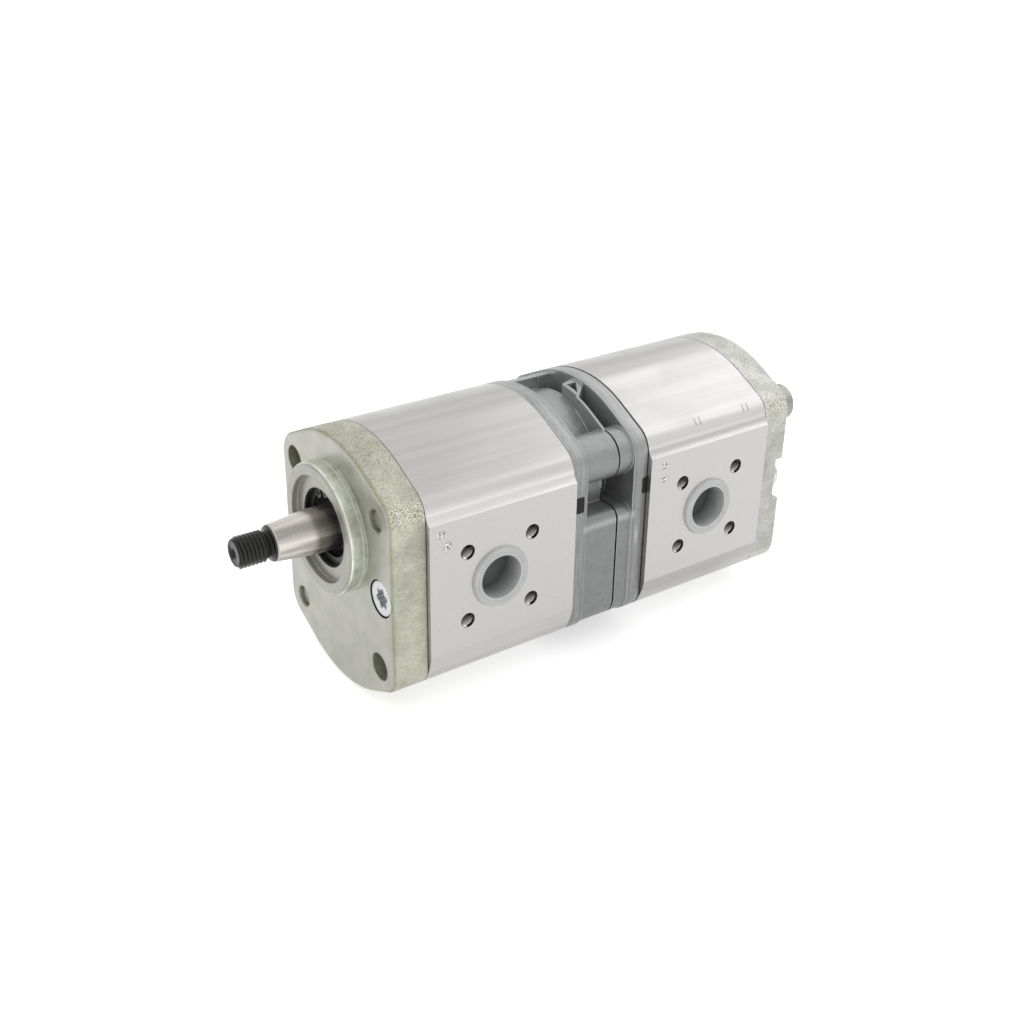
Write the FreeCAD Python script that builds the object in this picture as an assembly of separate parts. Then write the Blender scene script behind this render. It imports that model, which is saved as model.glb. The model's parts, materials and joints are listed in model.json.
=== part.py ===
import FreeCAD, Part
import math
import os
from FreeCAD import Vector

os.makedirs("parts", exist_ok=True)

# Tandem gear pump: two gear pumps on one drive line, held together by two tie bolts.
# Millimetres. The origin is on the drive shaft's axis at the mounting face.
# +X is the suction side, +Y runs along the pump to its rear, +Z is up.

# Gear pair, alike in both stages
GEAR_CENTRES = 31.0
TEETH = 12
MODULE = 2.5
PRESSURE_ANGLE = math.radians(20)
GEAR_TIP_R = 17.8
GEAR_ROOT_R = 12.4
BACKLASH = 0.12
TIP_CLEARANCE = 0.12
SIDE_CLEARANCE = 0.05
JOURNAL_R = 8.5
JOURNAL_CLEARANCE = 0.06
JOURNAL_RELIEF = 0.6

# Block section shared by the covers, the bodies and the intermediate
CORNER_SPACING = 60.0
CORNER_R = 10.3
BARREL_TILT = math.radians(18.64)
PAD_STEP = 2.1
PAD_DROP = 3.4
PAD_BLEND_ANGLE = math.radians(22)
PAD_BLEND_SAG = 0.5
PAD_LOWER_ROUND = 3.0

# Lengths along the pump
COVER_T = 14.5
FRONT_BODY_L = 64.2
MID_FRONT_L = 22.3
MID_REAR_L = 13.7
REAR_BODY_L = 61.6
REAR_COVER_T = 13.5
COVER_EDGE_R = 1.6

# Gears and ports of each stage
FRONT_GEAR_W = 20.6
REAR_GEAR_W = 18.2
FRONT_PORT_SHARE = 0.4673
REAR_PORT_SHARE = 0.5032
SUCTION_BORE_R = 10.0
SUCTION_PCD = 40.0
PRESSURE_BORE_R = 7.5
PRESSURE_PCD = 35.0
PORT_SCREW_R = 3.0
PORT_SCREW_DEPTH = 13.0
PORT_BORE_START = 6.0

# Pilot on the front cover and what sits in it
PILOT_R = 25.0
PILOT_L = 7.0
PILOT_EDGE = 0.9
PILOT_RECESS_R = 20.4
PILOT_RECESS_DEPTH = 2.5
SEAL_BORE_R = 15.0
SEAL_BORE_END = 5.0
SEAL_W = 6.0
SHAFT_HOLE_R = 10.0
CIRCLIP_T = 1.2
CIRCLIP_GROOVE_DEPTH = 0.7
CIRCLIP_INNER_R = 12.4
CIRCLIP_GAP_ANGLE = 112.0
CIRCLIP_GAP = 1.8
CIRCLIP_LUG_R = 1.9
CIRCLIP_LUG_SPREAD = math.radians(12)
CIRCLIP_LUG_HOLE_R = 0.8
CIRCLIP_SLACK = 0.05

# Drive shaft end: taper one in five, then a stub for the nut
TAPER_RATIO = 5.0
TAPER_FRONT_Y = -25.4
TAPER_REAR_Y = -10.4
STUB_R = 6.0
STUB_FRONT_Y = -39.9
STUB_REAR_Y = -28.2
UNDERCUT_R = 4.9
COLLAR_R = 6.6
COLLAR_L = 1.0
STUB_CHAMFER = 1.0
CENTRE_DRILL_R = 2.1
CENTRE_DRILL_DEPTH = 2.4
KEYSEAT_W = 3.0
KEYSEAT_DISC_R = 6.5
KEYSEAT_DEPTH = 2.1
KEYSEAT_Y = -18.0
JOURNAL_END_GAP = 1.0
TANG_ROOT_GAP = 2.0
SHAFT_END_GAP = 0.8

# Bolt holes and fasteners
MOUNT_HOLE_R = 5.5
MOUNT_SPOTFACE_R = 8.6
MOUNT_SPOTFACE_DEPTH = 0.8
TIE_R = 4.0
TIE_CLEARANCE = 0.25
TIE_HEAD_R = 7.4
TIE_HEAD_L = 6.4
TIE_END_RECESS = 1.6
TIE_LEAD_IN = 0.5
TIE_EDGE = 0.9
COVER_SCREW_INSET = 8.0
COVER_SCREW_R = 4.0
COVER_SCREW_END_WALL = 7.0
FLUSH_HEAD_R = 6.8
FLUSH_HEAD_RIM = 0.8
FLUSH_HEAD_RING = 0.45
REAR_HEAD_R = 6.5
REAR_HEAD_L = 4.4
NOTCH_R = 9.6
NOTCH_DEPTH = 4.5
SOCKET_R = 3.3
SOCKET_DEPTH = 2.6
DOWEL_R = 2.5
DOWEL_L = 9.0
DOWEL_INSET = 7.9
DOWEL_ANGLE = math.radians(58.9)

# Bearing blocks, bushes and seals
BLOCK_CLEARANCE = 0.04
BUSH_WALL = 1.4
BLOCK_RELIEF_W = 7.0
BLOCK_RELIEF_DEPTH = 1.2
BLOCK_RELIEF_X = 2.2, 6.6
BALANCE_SEAL_W = 1.3
BALANCE_SEAL_DEPTH = 1.4
BALANCE_SEAL_R = 15.7
BALANCE_SEAL_END_X = 2.0
BODY_SEAL_W = 2.0
BODY_SEAL_DEPTH = 1.6
BODY_SEAL_GAP = 2.6
TAB_Z = 1.7
TAB_H = 6.4
TAB_WEB = 1.0
FRONT_TAB_DEPTH = 5.2
REAR_TAB_DEPTH = 2.4

# Intermediate castings
PLATE_FRONT_T = 6.7
PLATE_REAR_T = 6.9
PLATE_DRAFT = 0.35
PLATE_DRAFT_L = 2.2
MID_INSET = 0.6
SEAM_RELIEF = 0.4
SEAM_RELIEF_W = 1.5
BARREL_FRONT_R = 29.5
BARREL_REAR_R = 23.5
BOSS_R = 9.4
LEDGE_Z = -5.6
LEDGE_ROUND = 4.6
FLANGE_T = 1.2
FLANGE_START_X = 12.6
WINDOW_END_X = -13.5
WINDOW_ROUND = 3.0
RIM_INSET = 1.2
LUG_SEAM_X = 2.2, 13.0
LUG_PLATE_X = 0.0, 6.5
LUG_RIB = 1.1
LUG_POCKET_DEPTH = 7.0
SEAM_SEAL_R = 17.0
SEAM_SEAL_W = 2.0
SEAM_SEAL_DEPTH = 1.5

# Coupling between the two drive shafts
TANG_T = 7.0
TANG_R = 7.6
TANG_L = 8.0
TANG_CLEARANCE = 0.3
DOG_R = 12.0
DOG_WEB = 1.6
DOG_CHAMBER_R = 13.0
DOG_CHAMBER_WALL = 1.8
DOG_EDGE = 0.6

# Port plugs
PLUG_FLANGE = 2.2
PLUG_FLANGE_T = 1.0
PLUG_WALL = 1.3
PLUG_DEPTH = 11.0
PLUG_FLOOR = 1.4
PLUG_FIT = 0.05

# Places worked out from the sizes above
CORE_Z = -GEAR_CENTRES / 2
CORNER = CORNER_SPACING / 2
FLANK_X = CORNER + CORNER_R
BARREL_R = CORNER_R + CORNER * math.sqrt(2) * math.cos(BARREL_TILT)
PAD_X = FLANK_X + PAD_STEP
PAD_HEIGHT = CORNER_SPACING - PAD_DROP
COVER_SCREW_X = FLANK_X - COVER_SCREW_INSET
DOWEL_X = (BARREL_R - DOWEL_INSET) * math.cos(DOWEL_ANGLE)
DOWEL_Z = (BARREL_R - DOWEL_INSET) * math.sin(DOWEL_ANGLE)
Y_BODY1 = COVER_T
Y_MID = Y_BODY1 + FRONT_BODY_L
Y_SEAM = Y_MID + MID_FRONT_L
Y_BODY2 = Y_SEAM + MID_REAR_L
Y_COVER2 = Y_BODY2 + REAR_BODY_L
Y_END = Y_COVER2 + REAR_COVER_T
FRONT_PORT_Y = Y_BODY1 + FRONT_PORT_SHARE * FRONT_BODY_L
REAR_PORT_Y = Y_BODY2 + REAR_PORT_SHARE * REAR_BODY_L
CAVITY_R = GEAR_TIP_R + TIP_CLEARANCE
WORKING_R = GEAR_CENTRES / 2
BASE_R = MODULE * TEETH / 2 * math.cos(PRESSURE_ANGLE)
BUSH_IN_R = JOURNAL_R + JOURNAL_CLEARANCE
BUSH_OUT_R = BUSH_IN_R + BUSH_WALL
TIE_HOLE_R = TIE_R + TIE_CLEARANCE
DRIVE_Z = 0.0
DRIVEN_Z = -GEAR_CENTRES
TANG_ROOT_Y = Y_MID + TANG_ROOT_GAP
DOG_SEAT_Y = Y_BODY2 - DOG_CHAMBER_WALL
TIE_PLACES = ((CORNER, CORE_Z + CORNER), (-CORNER, CORE_Z - CORNER))
MOUNT_PLACES = ((-CORNER, CORE_Z + CORNER), (CORNER, CORE_Z - CORNER))
DOWEL_PLACES = ((-DOWEL_X, CORE_Z + DOWEL_Z), (DOWEL_X, CORE_Z - DOWEL_Z))
SEAM_DOWEL_PLACES = ((-DOWEL_X, CORE_Z - DOWEL_Z), (DOWEL_X, CORE_Z - DOWEL_Z))


def at(x, z, y=0.0):
    return Vector(x, y, z)


def polar(r, angle, x=0.0, z=0.0):
    return at(x + r * math.cos(angle), z + r * math.sin(angle))


def line(a, b):
    return Part.LineSegment(a, b).toShape()


def arc(a, b, c):
    return Part.Arc(a, b, c).toShape()


def prism(wire, y0, y1):
    face = Part.Face(wire)
    face.translate(Vector(0, y0, 0))
    return face.extrude(Vector(0, y1 - y0, 0))


def rod(r, y0, y1, x=0.0, z=0.0):
    return Part.makeCylinder(r, y1 - y0, Vector(x, y0, z), Vector(0, 1, 0))


def rod_x(r, x0, x1, y, z):
    return Part.makeCylinder(r, x1 - x0, Vector(x0, y, z), Vector(1, 0, 0))


def box(x0, x1, y0, y1, z0, z1):
    return Part.makeBox(x1 - x0, y1 - y0, z1 - z0, Vector(x0, y0, z0))


def turned(points, x=0.0, z=0.0):
    """A turned piece from (radius, y) points, about an axis along Y."""
    corners = [Vector(x + r, y, z) for r, y in points]
    wire = Part.makePolygon(corners + corners[:1])
    return Part.Face(wire).revolve(Vector(x, 0, z), Vector(0, 1, 0), 360)


def fuse(shapes):
    return shapes[0].multiFuse(shapes[1:]).removeSplitter()


def cut(shape, tools):
    return shape.cut(Part.makeCompound(tools)) if tools else shape


def edges_on(shape, y):
    """The edges that lie in the plane at y."""
    spans = [(edge, edge.BoundBox) for edge in shape.Edges]
    return [edge for edge, span in spans if abs(span.YMin - y) < 1e-4 and abs(span.YMax - y) < 1e-4]


def block_outline(inset=0.0):
    """The block's rounded section: a barrel arc above and below, four round corners, flat sides."""
    barrel, corner = BARREL_R - inset, CORNER_R - inset
    top = math.pi / 4 + BARREL_TILT
    edges = []
    for up in (1, -1):
        side = [polar(corner, up * a, CORNER, CORE_Z + up * CORNER) for a in (top, top / 2, 0)]
        start = polar(barrel, up * top, 0, CORE_Z)
        mirror = [at(-p.x, p.z) for p in side]
        edges += [arc(start, at(0, CORE_Z + up * barrel), at(-start.x, start.z)),
                  line(start, side[0]), arc(*side),
                  line(at(-start.x, start.z), mirror[0]), arc(*mirror)]
    flank = CORNER + corner
    for x in (flank, -flank):
        edges.append(line(at(x, CORE_Z + CORNER), at(x, CORE_Z - CORNER)))
    return Part.Wire(Part.__sortEdges__(edges))


def pad_outline(side):
    """The raised port pad on one side of a body: a hollow blend above it, a round one below."""
    upper = polar(CORNER_R, PAD_BLEND_ANGLE, CORNER, CORE_Z + CORNER)
    edge = at(PAD_X, CORE_Z + PAD_HEIGHT / 2)
    sag = at((upper.x + edge.x) / 2 - PAD_BLEND_SAG, (upper.z + edge.z) / 2 - PAD_BLEND_SAG / 2)
    low = at(PAD_X, CORE_Z - PAD_HEIGHT / 2 + PAD_LOWER_ROUND)
    lower = polar(CORNER_R, -PAD_BLEND_ANGLE, CORNER, CORE_Z - CORNER)
    swell = at((low.x + lower.x) / 2 + PAD_BLEND_SAG, (low.z + lower.z) / 2)
    inner = [at(CORNER, upper.z), at(CORNER, lower.z)]
    flip = [at(side * p.x, p.z) for p in (upper, sag, edge, low, swell, lower, *inner)]
    upper, sag, edge, low, swell, lower, in_top, in_low = flip
    return Part.Wire([arc(upper, sag, edge), line(edge, low), arc(low, swell, lower),
                      line(lower, in_low), line(in_low, in_top), line(in_top, upper)])


def twin_outline(r):
    """Two meeting circles about the two gear axes."""
    half = math.sqrt(r * r - WORKING_R * WORKING_R)
    return Part.Wire([arc(at(half, CORE_Z), at(0, DRIVE_Z + r), at(-half, CORE_Z)),
                      arc(at(-half, CORE_Z), at(0, DRIVEN_Z - r), at(half, CORE_Z))])


def ring_outline(r):
    """A stadium round both gear axes, the line that a body seal follows."""
    return Part.Wire([arc(at(r, DRIVE_Z), at(0, DRIVE_Z + r), at(-r, DRIVE_Z)),
                      line(at(-r, DRIVE_Z), at(-r, DRIVEN_Z)),
                      arc(at(-r, DRIVEN_Z), at(0, DRIVEN_Z - r), at(r, DRIVEN_Z)),
                      line(at(r, DRIVEN_Z), at(r, DRIVE_Z))])


def stadium_ring(r, width, y0, y1):
    return prism(ring_outline(r + width), y0, y1).cut(prism(ring_outline(r), y0, y1))


def socket(x, z, y0, y1):
    """A six-sided driving recess."""
    corners = [polar(SOCKET_R, k * math.pi / 3, x, z) for k in range(7)]
    return prism(Part.makePolygon(corners), y0, y1)


def dowel_holes(y, places):
    """Dowels and their holes are the same plain cylinders, half in each casting."""
    return [rod(DOWEL_R, y - DOWEL_L / 2, y + DOWEL_L / 2, x, z) for x, z in places]


def through_holes(y0, y1):
    """The tie bolt holes and the mounting holes run through every casting."""
    ties = [rod(TIE_HOLE_R, y0 - 1, y1 + 1, x, z) for x, z in TIE_PLACES]
    return ties + [rod(MOUNT_HOLE_R, y0 - 1, y1 + 1, x, z) for x, z in MOUNT_PLACES]


def involute(angle):
    return math.tan(angle) - angle


def gear_outline(z, phase):
    """Involute teeth with round gaps; phase is the direction of one tooth's middle."""
    working = math.acos(BASE_R / WORKING_R)
    base_half = math.pi / (2 * TEETH) + involute(working) - BACKLASH / (2 * WORKING_R)
    radii = [BASE_R + (GEAR_TIP_R - BASE_R) * k for k in (0, 0.4, 1)]
    flank = [(r, base_half - involute(math.acos(BASE_R / r))) for r in radii]
    pitch = 2 * math.pi / TEETH
    edges = []
    for k in range(TEETH):
        middle = phase + k * pitch
        right = [polar(r, middle - half, 0, z) for r, half in flank]
        left = [polar(r, middle + half, 0, z) for r, half in flank]
        edges += [arc(*right), arc(right[-1], polar(GEAR_TIP_R, middle, 0, z), left[-1]), arc(*left)]
        nxt = polar(BASE_R, middle + pitch - base_half, 0, z)
        edges.append(arc(left[0], polar(GEAR_ROOT_R, middle + pitch / 2, 0, z), nxt))
    return Part.Wire(Part.__sortEdges__(edges))


def gear(z, phase, y0, y1):
    return prism(gear_outline(z, phase), y0, y1)


def drive_phase():
    return -math.pi / 2


def driven_phase():
    return math.pi / 2 + math.pi / TEETH


def gear_span(port_y, width):
    return port_y - width / 2, port_y + width / 2


def tang(y0, y1, across_x):
    """A flat driving tongue on a shaft's end, cut from the round."""
    half = TANG_T / 2
    wide = TANG_R + 1
    sides = (wide, half) if across_x else (half, wide)
    return rod(TANG_R, y0, y1).common(box(-sides[0], sides[0], y0, y1, -sides[1], sides[1]))


def front_drive_shaft():
    """Stub, undercut, taper, journal, gear, journal and tongue, turned from one bar."""
    g0, g1 = gear_span(FRONT_PORT_Y, FRONT_GEAR_W)
    taper_small = JOURNAL_R - (TAPER_REAR_Y - TAPER_FRONT_Y) / TAPER_RATIO / 2
    journal_end = Y_MID - JOURNAL_END_GAP
    profile = [(0, STUB_FRONT_Y), (STUB_R - STUB_CHAMFER, STUB_FRONT_Y),
               (STUB_R, STUB_FRONT_Y + STUB_CHAMFER), (STUB_R, STUB_REAR_Y - 0.6),
               (UNDERCUT_R, STUB_REAR_Y), (UNDERCUT_R, TAPER_FRONT_Y - COLLAR_L - 0.4),
               (COLLAR_R, TAPER_FRONT_Y - COLLAR_L), (taper_small, TAPER_FRONT_Y),
               (JOURNAL_R, TAPER_REAR_Y), (JOURNAL_R, journal_end), (TANG_R, journal_end + JOURNAL_RELIEF),
               (TANG_R, TANG_ROOT_Y), (0, TANG_ROOT_Y)]
    tongue = tang(TANG_ROOT_Y, TANG_ROOT_Y + TANG_L, True)
    shaft = fuse([turned(profile), gear(DRIVE_Z, drive_phase(), g0, g1), tongue])
    dimple = Part.makeCone(CENTRE_DRILL_R, 0.6, CENTRE_DRILL_DEPTH,
                           Vector(0, STUB_FRONT_Y, 0), Vector(0, 1, 0))
    taper_r = JOURNAL_R - (TAPER_REAR_Y - KEYSEAT_Y) / TAPER_RATIO / 2
    disc_x = -(taper_r + KEYSEAT_DISC_R - KEYSEAT_DEPTH)
    keyseat = Part.makeCylinder(KEYSEAT_DISC_R, KEYSEAT_W,
                                Vector(disc_x, KEYSEAT_Y, -KEYSEAT_W / 2), Vector(0, 0, 1))
    return cut(shaft, [dimple, keyseat])


def plain_gear_shaft(z, phase, gear_y, y0, y1):
    """A gear between two journals."""
    g0, g1 = gear_y
    edge = JOURNAL_R - JOURNAL_RELIEF
    journals = turned([(0, y0), (edge, y0), (JOURNAL_R, y0 + JOURNAL_RELIEF),
                       (JOURNAL_R, y1 - JOURNAL_RELIEF), (edge, y1), (0, y1)], 0, z)
    return fuse([journals, gear(z, phase, g0, g1)])


def dog_span():
    start = TANG_ROOT_Y + TANG_CLEARANCE
    return start, start + 2 * (TANG_L - TANG_CLEARANCE) + DOG_WEB + 2 * TANG_CLEARANCE


def rear_drive_shaft():
    """The second stage's driving gear, with the tongue that the coupling dog turns."""
    g = gear_span(REAR_PORT_Y, REAR_GEAR_W)
    nose = dog_span()[1] - TANG_L + TANG_CLEARANCE
    root = nose + TANG_L
    shaft = plain_gear_shaft(DRIVE_Z, drive_phase(), g, root, Y_COVER2 - SHAFT_END_GAP)
    return fuse([shaft, rod(TANG_R, root - 0.01, root + JOURNAL_RELIEF), tang(nose, root, False)])


def coupling_dog():
    """A round sleeve with a slot across each end, at right angles to each other."""
    y0, y1 = dog_span()
    slot = TANG_T / 2 + TANG_CLEARANCE
    depth = TANG_L
    wide = DOG_R + 1
    middle = (y0 + y1) / 2
    edge = DOG_R - DOG_EDGE
    sleeve = turned([(0, y0), (edge, y0), (DOG_R, y0 + DOG_EDGE), (DOG_R, y1 - DOG_EDGE),
                     (edge, y1), (0, y1)])
    front = box(-wide, wide, y0 - 1, middle - DOG_WEB / 2, -slot, slot)
    rear = box(-slot, slot, middle + DOG_WEB / 2, y1 + 1, -wide, wide)
    return cut(sleeve, [front, rear])


def bearing_block(y0, y1, gear_side):
    """One block carries both shafts' ends, with relief pockets beside the teeth."""
    block = prism(twin_outline(CAVITY_R - BLOCK_CLEARANCE), y0, y1)
    bores = [rod(BUSH_OUT_R, y0 - 1, y1 + 1, 0, z) for z in (DRIVE_Z, DRIVEN_Z)]
    face = y1 if gear_side > 0 else y0
    reach = sorted((face, face - gear_side * BLOCK_RELIEF_DEPTH))
    low, high = CORE_Z - BLOCK_RELIEF_W / 2, CORE_Z + BLOCK_RELIEF_W / 2
    relief = [box(*sorted(side * x for x in BLOCK_RELIEF_X), *reach, low, high) for side in (-1, 1)]
    back = y0 if gear_side > 0 else y1
    span = sorted((back, back + gear_side * BALANCE_SEAL_DEPTH))
    return cut(block, bores + relief + [balance_track(*span)])


def balance_track(y0, y1):
    """The track of the pressure seal on the back of a block, open towards the suction side."""
    outer = prism(twin_outline(BALANCE_SEAL_R + BALANCE_SEAL_W), y0, y1)
    ring = outer.cut(prism(twin_outline(BALANCE_SEAL_R), y0, y1))
    reach = BALANCE_SEAL_R + BALANCE_SEAL_W + 1
    return ring.common(box(-reach, BALANCE_SEAL_END_X, y0, y1, DRIVEN_Z - reach, DRIVE_Z + reach))


def bush(z, y0, y1):
    """A rolled plain bush pressed into its block."""
    return rod(BUSH_OUT_R, y0, y1, 0, z).cut(rod(BUSH_IN_R, y0 - 1, y1 + 1, 0, z))


def body_seal_ring(y0, y1):
    return stadium_ring(CAVITY_R + BODY_SEAL_GAP, BODY_SEAL_W, y0, y1)


def seal_tabs(face, direction, depth):
    """The tongues of a body seal, which end in black blocks in the casting's sides."""
    web = sorted((face, face + direction * TAB_WEB))
    end = sorted((face, face + direction * depth))
    low, high = TAB_Z - TAB_H / 2, TAB_Z + TAB_H / 2
    inner = CAVITY_R + BODY_SEAL_GAP
    tabs = []
    for side in (-1, 1):
        webs = sorted((side * inner, side * FLANK_X))
        ends = sorted((side * (FLANK_X - 3), side * (FLANK_X + 0.2)))
        tabs += [box(*webs, *web, low, high), box(*ends, *end, low, high)]
    return tabs


def tabbed_seal(face, direction, depth):
    span = sorted((face, face + direction * BODY_SEAL_DEPTH))
    return fuse([body_seal_ring(*span)] + seal_tabs(face, direction, depth))


def front_cover():
    """The mounting flange: a machined face with a pilot, screw holes and cast edges."""
    plate = prism(block_outline(), 0, COVER_T)
    plate = plate.makeFillet(COVER_EDGE_R, edges_on(plate, 0))
    pilot = turned([(0, 0.5), (PILOT_R, 0.5), (PILOT_R, -PILOT_L + PILOT_EDGE),
                    (PILOT_R - PILOT_EDGE, -PILOT_L), (0, -PILOT_L)])
    holes = [rod(PILOT_RECESS_R, -PILOT_L - 1, -PILOT_L + PILOT_RECESS_DEPTH),
             rod(SEAL_BORE_R, -PILOT_L - 1, SEAL_BORE_END), rod(SHAFT_HOLE_R, 0, COVER_T + 1),
             rod(SEAL_BORE_R + CIRCLIP_GROOVE_DEPTH, *circlip_span())]
    holes += through_holes(0, COVER_T)
    holes += [Part.makeCone(TIE_HOLE_R + TIE_LEAD_IN, TIE_HOLE_R, TIE_LEAD_IN, Vector(x, 0, z),
                            Vector(0, 1, 0)) for x, z in TIE_PLACES]
    holes += [flush_screw_hole(side) for side in (-1, 1)]
    holes += dowel_holes(COVER_T, DOWEL_PLACES) + [body_seal_ring(COVER_T - BODY_SEAL_DEPTH, COVER_T)]
    return cut(fuse([plate, pilot]), holes)


def circlip_span():
    end = SEAL_BORE_END - SEAL_W
    return end - CIRCLIP_T - 0.1, end - 0.1


def screw_grip(face_y, port_y):
    """How far a cover screw runs into a body, which stops it short of the suction port."""
    return abs(face_y - port_y) - SUCTION_BORE_R - COVER_SCREW_END_WALL


def flush_screw_hole(side):
    head = FLUSH_HEAD_R - COVER_SCREW_R
    x = side * COVER_SCREW_X
    rim = FLUSH_HEAD_RIM
    return turned([(0, -1), (FLUSH_HEAD_R + FLUSH_HEAD_RING, -1), (FLUSH_HEAD_R + FLUSH_HEAD_RING, rim),
                   (FLUSH_HEAD_R, rim), (COVER_SCREW_R, rim + head),
                   (COVER_SCREW_R, COVER_T + 1), (0, COVER_T + 1)], x, CORE_Z)


def front_cover_screws():
    """Two flush screws that hold the front cover to the body."""
    head = FLUSH_HEAD_R - COVER_SCREW_R
    end = COVER_T + screw_grip(COVER_T, FRONT_PORT_Y)
    screws = []
    for side in (-1, 1):
        x = side * COVER_SCREW_X
        shank = turned([(0, 0), (FLUSH_HEAD_R, 0), (FLUSH_HEAD_R, FLUSH_HEAD_RIM),
                        (COVER_SCREW_R, FLUSH_HEAD_RIM + head), (COVER_SCREW_R, end - 1),
                        (COVER_SCREW_R - 1, end), (0, end)], x, CORE_Z)
        screws.append(shank.cut(socket(x, CORE_Z, -1, SOCKET_DEPTH)))
    return Part.makeCompound(screws)


def rear_cover_screws():
    """Two low-head screws in the side notches of the rear cover."""
    floor = Y_END - NOTCH_DEPTH
    top = floor + REAR_HEAD_L
    start = Y_COVER2 - screw_grip(Y_COVER2, REAR_PORT_Y)
    screws = []
    for side in (-1, 1):
        x = side * COVER_SCREW_X
        shank = turned([(0, start), (COVER_SCREW_R - 1, start), (COVER_SCREW_R, start + 1),
                        (COVER_SCREW_R, floor), (REAR_HEAD_R, floor), (REAR_HEAD_R, top - 0.6),
                        (REAR_HEAD_R - 0.6, top), (0, top)], x, CORE_Z)
        screws.append(shank.cut(socket(x, CORE_Z, top - SOCKET_DEPTH, top + 1)))
    return Part.makeCompound(screws)


def tie_bolts():
    """Two long bolts from the rear cover through every casting into the front cover."""
    top = Y_END + TIE_HEAD_L
    bolts = []
    for x, z in TIE_PLACES:
        tip = TIE_END_RECESS
        shank = turned([(0, tip), (TIE_R - TIE_EDGE, tip), (TIE_R, tip + TIE_EDGE), (TIE_R, Y_END),
                        (TIE_HEAD_R, Y_END), (TIE_HEAD_R, top - TIE_EDGE),
                        (TIE_HEAD_R - TIE_EDGE, top), (0, top)], x, z)
        bolts.append(shank.cut(socket(x, z, top - SOCKET_DEPTH, top + 1)))
    return Part.makeCompound(bolts)


def dowels(y, places):
    return Part.makeCompound(dowel_holes(y, places))


def port(side, bore_r, pcd, y):
    """A port bore into the gear chamber and its four tapped holes."""
    step = pcd / 2 / math.sqrt(2)
    ends = sorted((side * PORT_BORE_START, side * (PAD_X + 1)))
    tools = [rod_x(bore_r, *ends, y, CORE_Z)]
    screw = sorted((side * (PAD_X - PORT_SCREW_DEPTH), side * (PAD_X + 1)))
    for dy in (-step, step):
        for dz in (-step, step):
            tools.append(rod_x(PORT_SCREW_R, *screw, y + dy, CORE_Z + dz))
    return tools


def pump_body(y0, y1, port_y, screw_side):
    """A length of extrusion, bored for the gears and drilled for its ports and bolts."""
    stock = fuse([prism(block_outline(), y0, y1), prism(pad_outline(1), y0, y1),
                  prism(pad_outline(-1), y0, y1)])
    tools = [prism(twin_outline(CAVITY_R), y0 - 1, y1 + 1)]
    tools += port(1, SUCTION_BORE_R, SUCTION_PCD, port_y)
    tools += port(-1, PRESSURE_BORE_R, PRESSURE_PCD, port_y)
    tools += through_holes(y0, y1) + dowel_holes(y0, DOWEL_PLACES) + dowel_holes(y1, DOWEL_PLACES)
    face = y0 if screw_side < 0 else y1
    span = sorted((face + screw_side, face - screw_side * screw_grip(face, port_y)))
    tools += [rod(COVER_SCREW_R, *span, side * COVER_SCREW_X, CORE_Z) for side in (-1, 1)]
    return cut(stock, tools)


def lower_block(y0, y1):
    """The closed lower part of an intermediate casting, with a rounded ledge on each side."""
    flank = FLANK_X - MID_INSET
    r = LEDGE_ROUND
    floor = CORE_Z - BARREL_R - 1
    mid = flank - r + r * math.sqrt(0.5)
    mid_z = LEDGE_Z - r + r * math.sqrt(0.5)
    low, high = LEDGE_Z - r, LEDGE_Z
    bound = Part.Wire([line(at(-flank, floor), at(-flank, low)),
                       arc(at(-flank, low), at(-mid, mid_z), at(-flank + r, high)),
                       line(at(-flank + r, high), at(flank - r, high)),
                       arc(at(flank - r, high), at(mid, mid_z), at(flank, low)),
                       line(at(flank, low), at(flank, floor)), line(at(flank, floor), at(-flank, floor))])
    return prism(block_outline(MID_INSET), y0, y1).common(prism(bound, y0, y1))


def seam_relief(y0, y1):
    """A thin step round a casting's edge, which leaves a fine gap at the joint."""
    return prism(block_outline(-1.0), y0, y1).cut(prism(block_outline(SEAM_RELIEF_W), y0, y1))


def upper_bosses(y0, y1):
    return [rod(BOSS_R, y0, y1, side * CORNER, CORE_Z + CORNER) for side in (-1, 1)]


def end_plate(joint_y, inner_y):
    """An end plate whose rim falls away a little towards the body that it meets."""
    drafted = joint_y + math.copysign(PLATE_DRAFT_L, inner_y - joint_y)
    rims = []
    for inset, y in ((PLATE_DRAFT, joint_y), (0, drafted)):
        rim = block_outline(inset)
        rim.translate(Vector(0, y, 0))
        rims.append(rim)
    return [Part.makeLoft(rims, True, True), prism(block_outline(), *sorted((drafted, inner_y)))]


def seam_flange():
    """The low wall along the seam, from the window at the top to the boss on the suction side."""
    wall = prism(block_outline(RIM_INSET), Y_SEAM - FLANGE_T, Y_SEAM)
    return wall.common(box(FLANGE_START_X, CORNER, Y_SEAM - FLANGE_T, Y_SEAM, 0, BARREL_R))


def window_end(plate_y):
    """The solid stretch between the window and the far boss, rounded where it meets its plate."""
    r = WINDOW_ROUND
    y0, y1 = sorted((Y_SEAM, plate_y))
    toward = math.copysign(r, Y_SEAM - plate_y)
    solid = prism(block_outline(RIM_INSET), y0, y1).common(
        box(-CORNER, WINDOW_END_X + r, y0, y1, 0, BARREL_R))
    open_y = sorted((plate_y + toward, Y_SEAM + toward))
    room = box(WINDOW_END_X, WINDOW_END_X + 2 * r, *open_y, 0, BARREL_R)
    return cut(solid, [room, Part.makeCylinder(r, BARREL_R, Vector(WINDOW_END_X + r, plate_y + toward, 0))])


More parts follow.
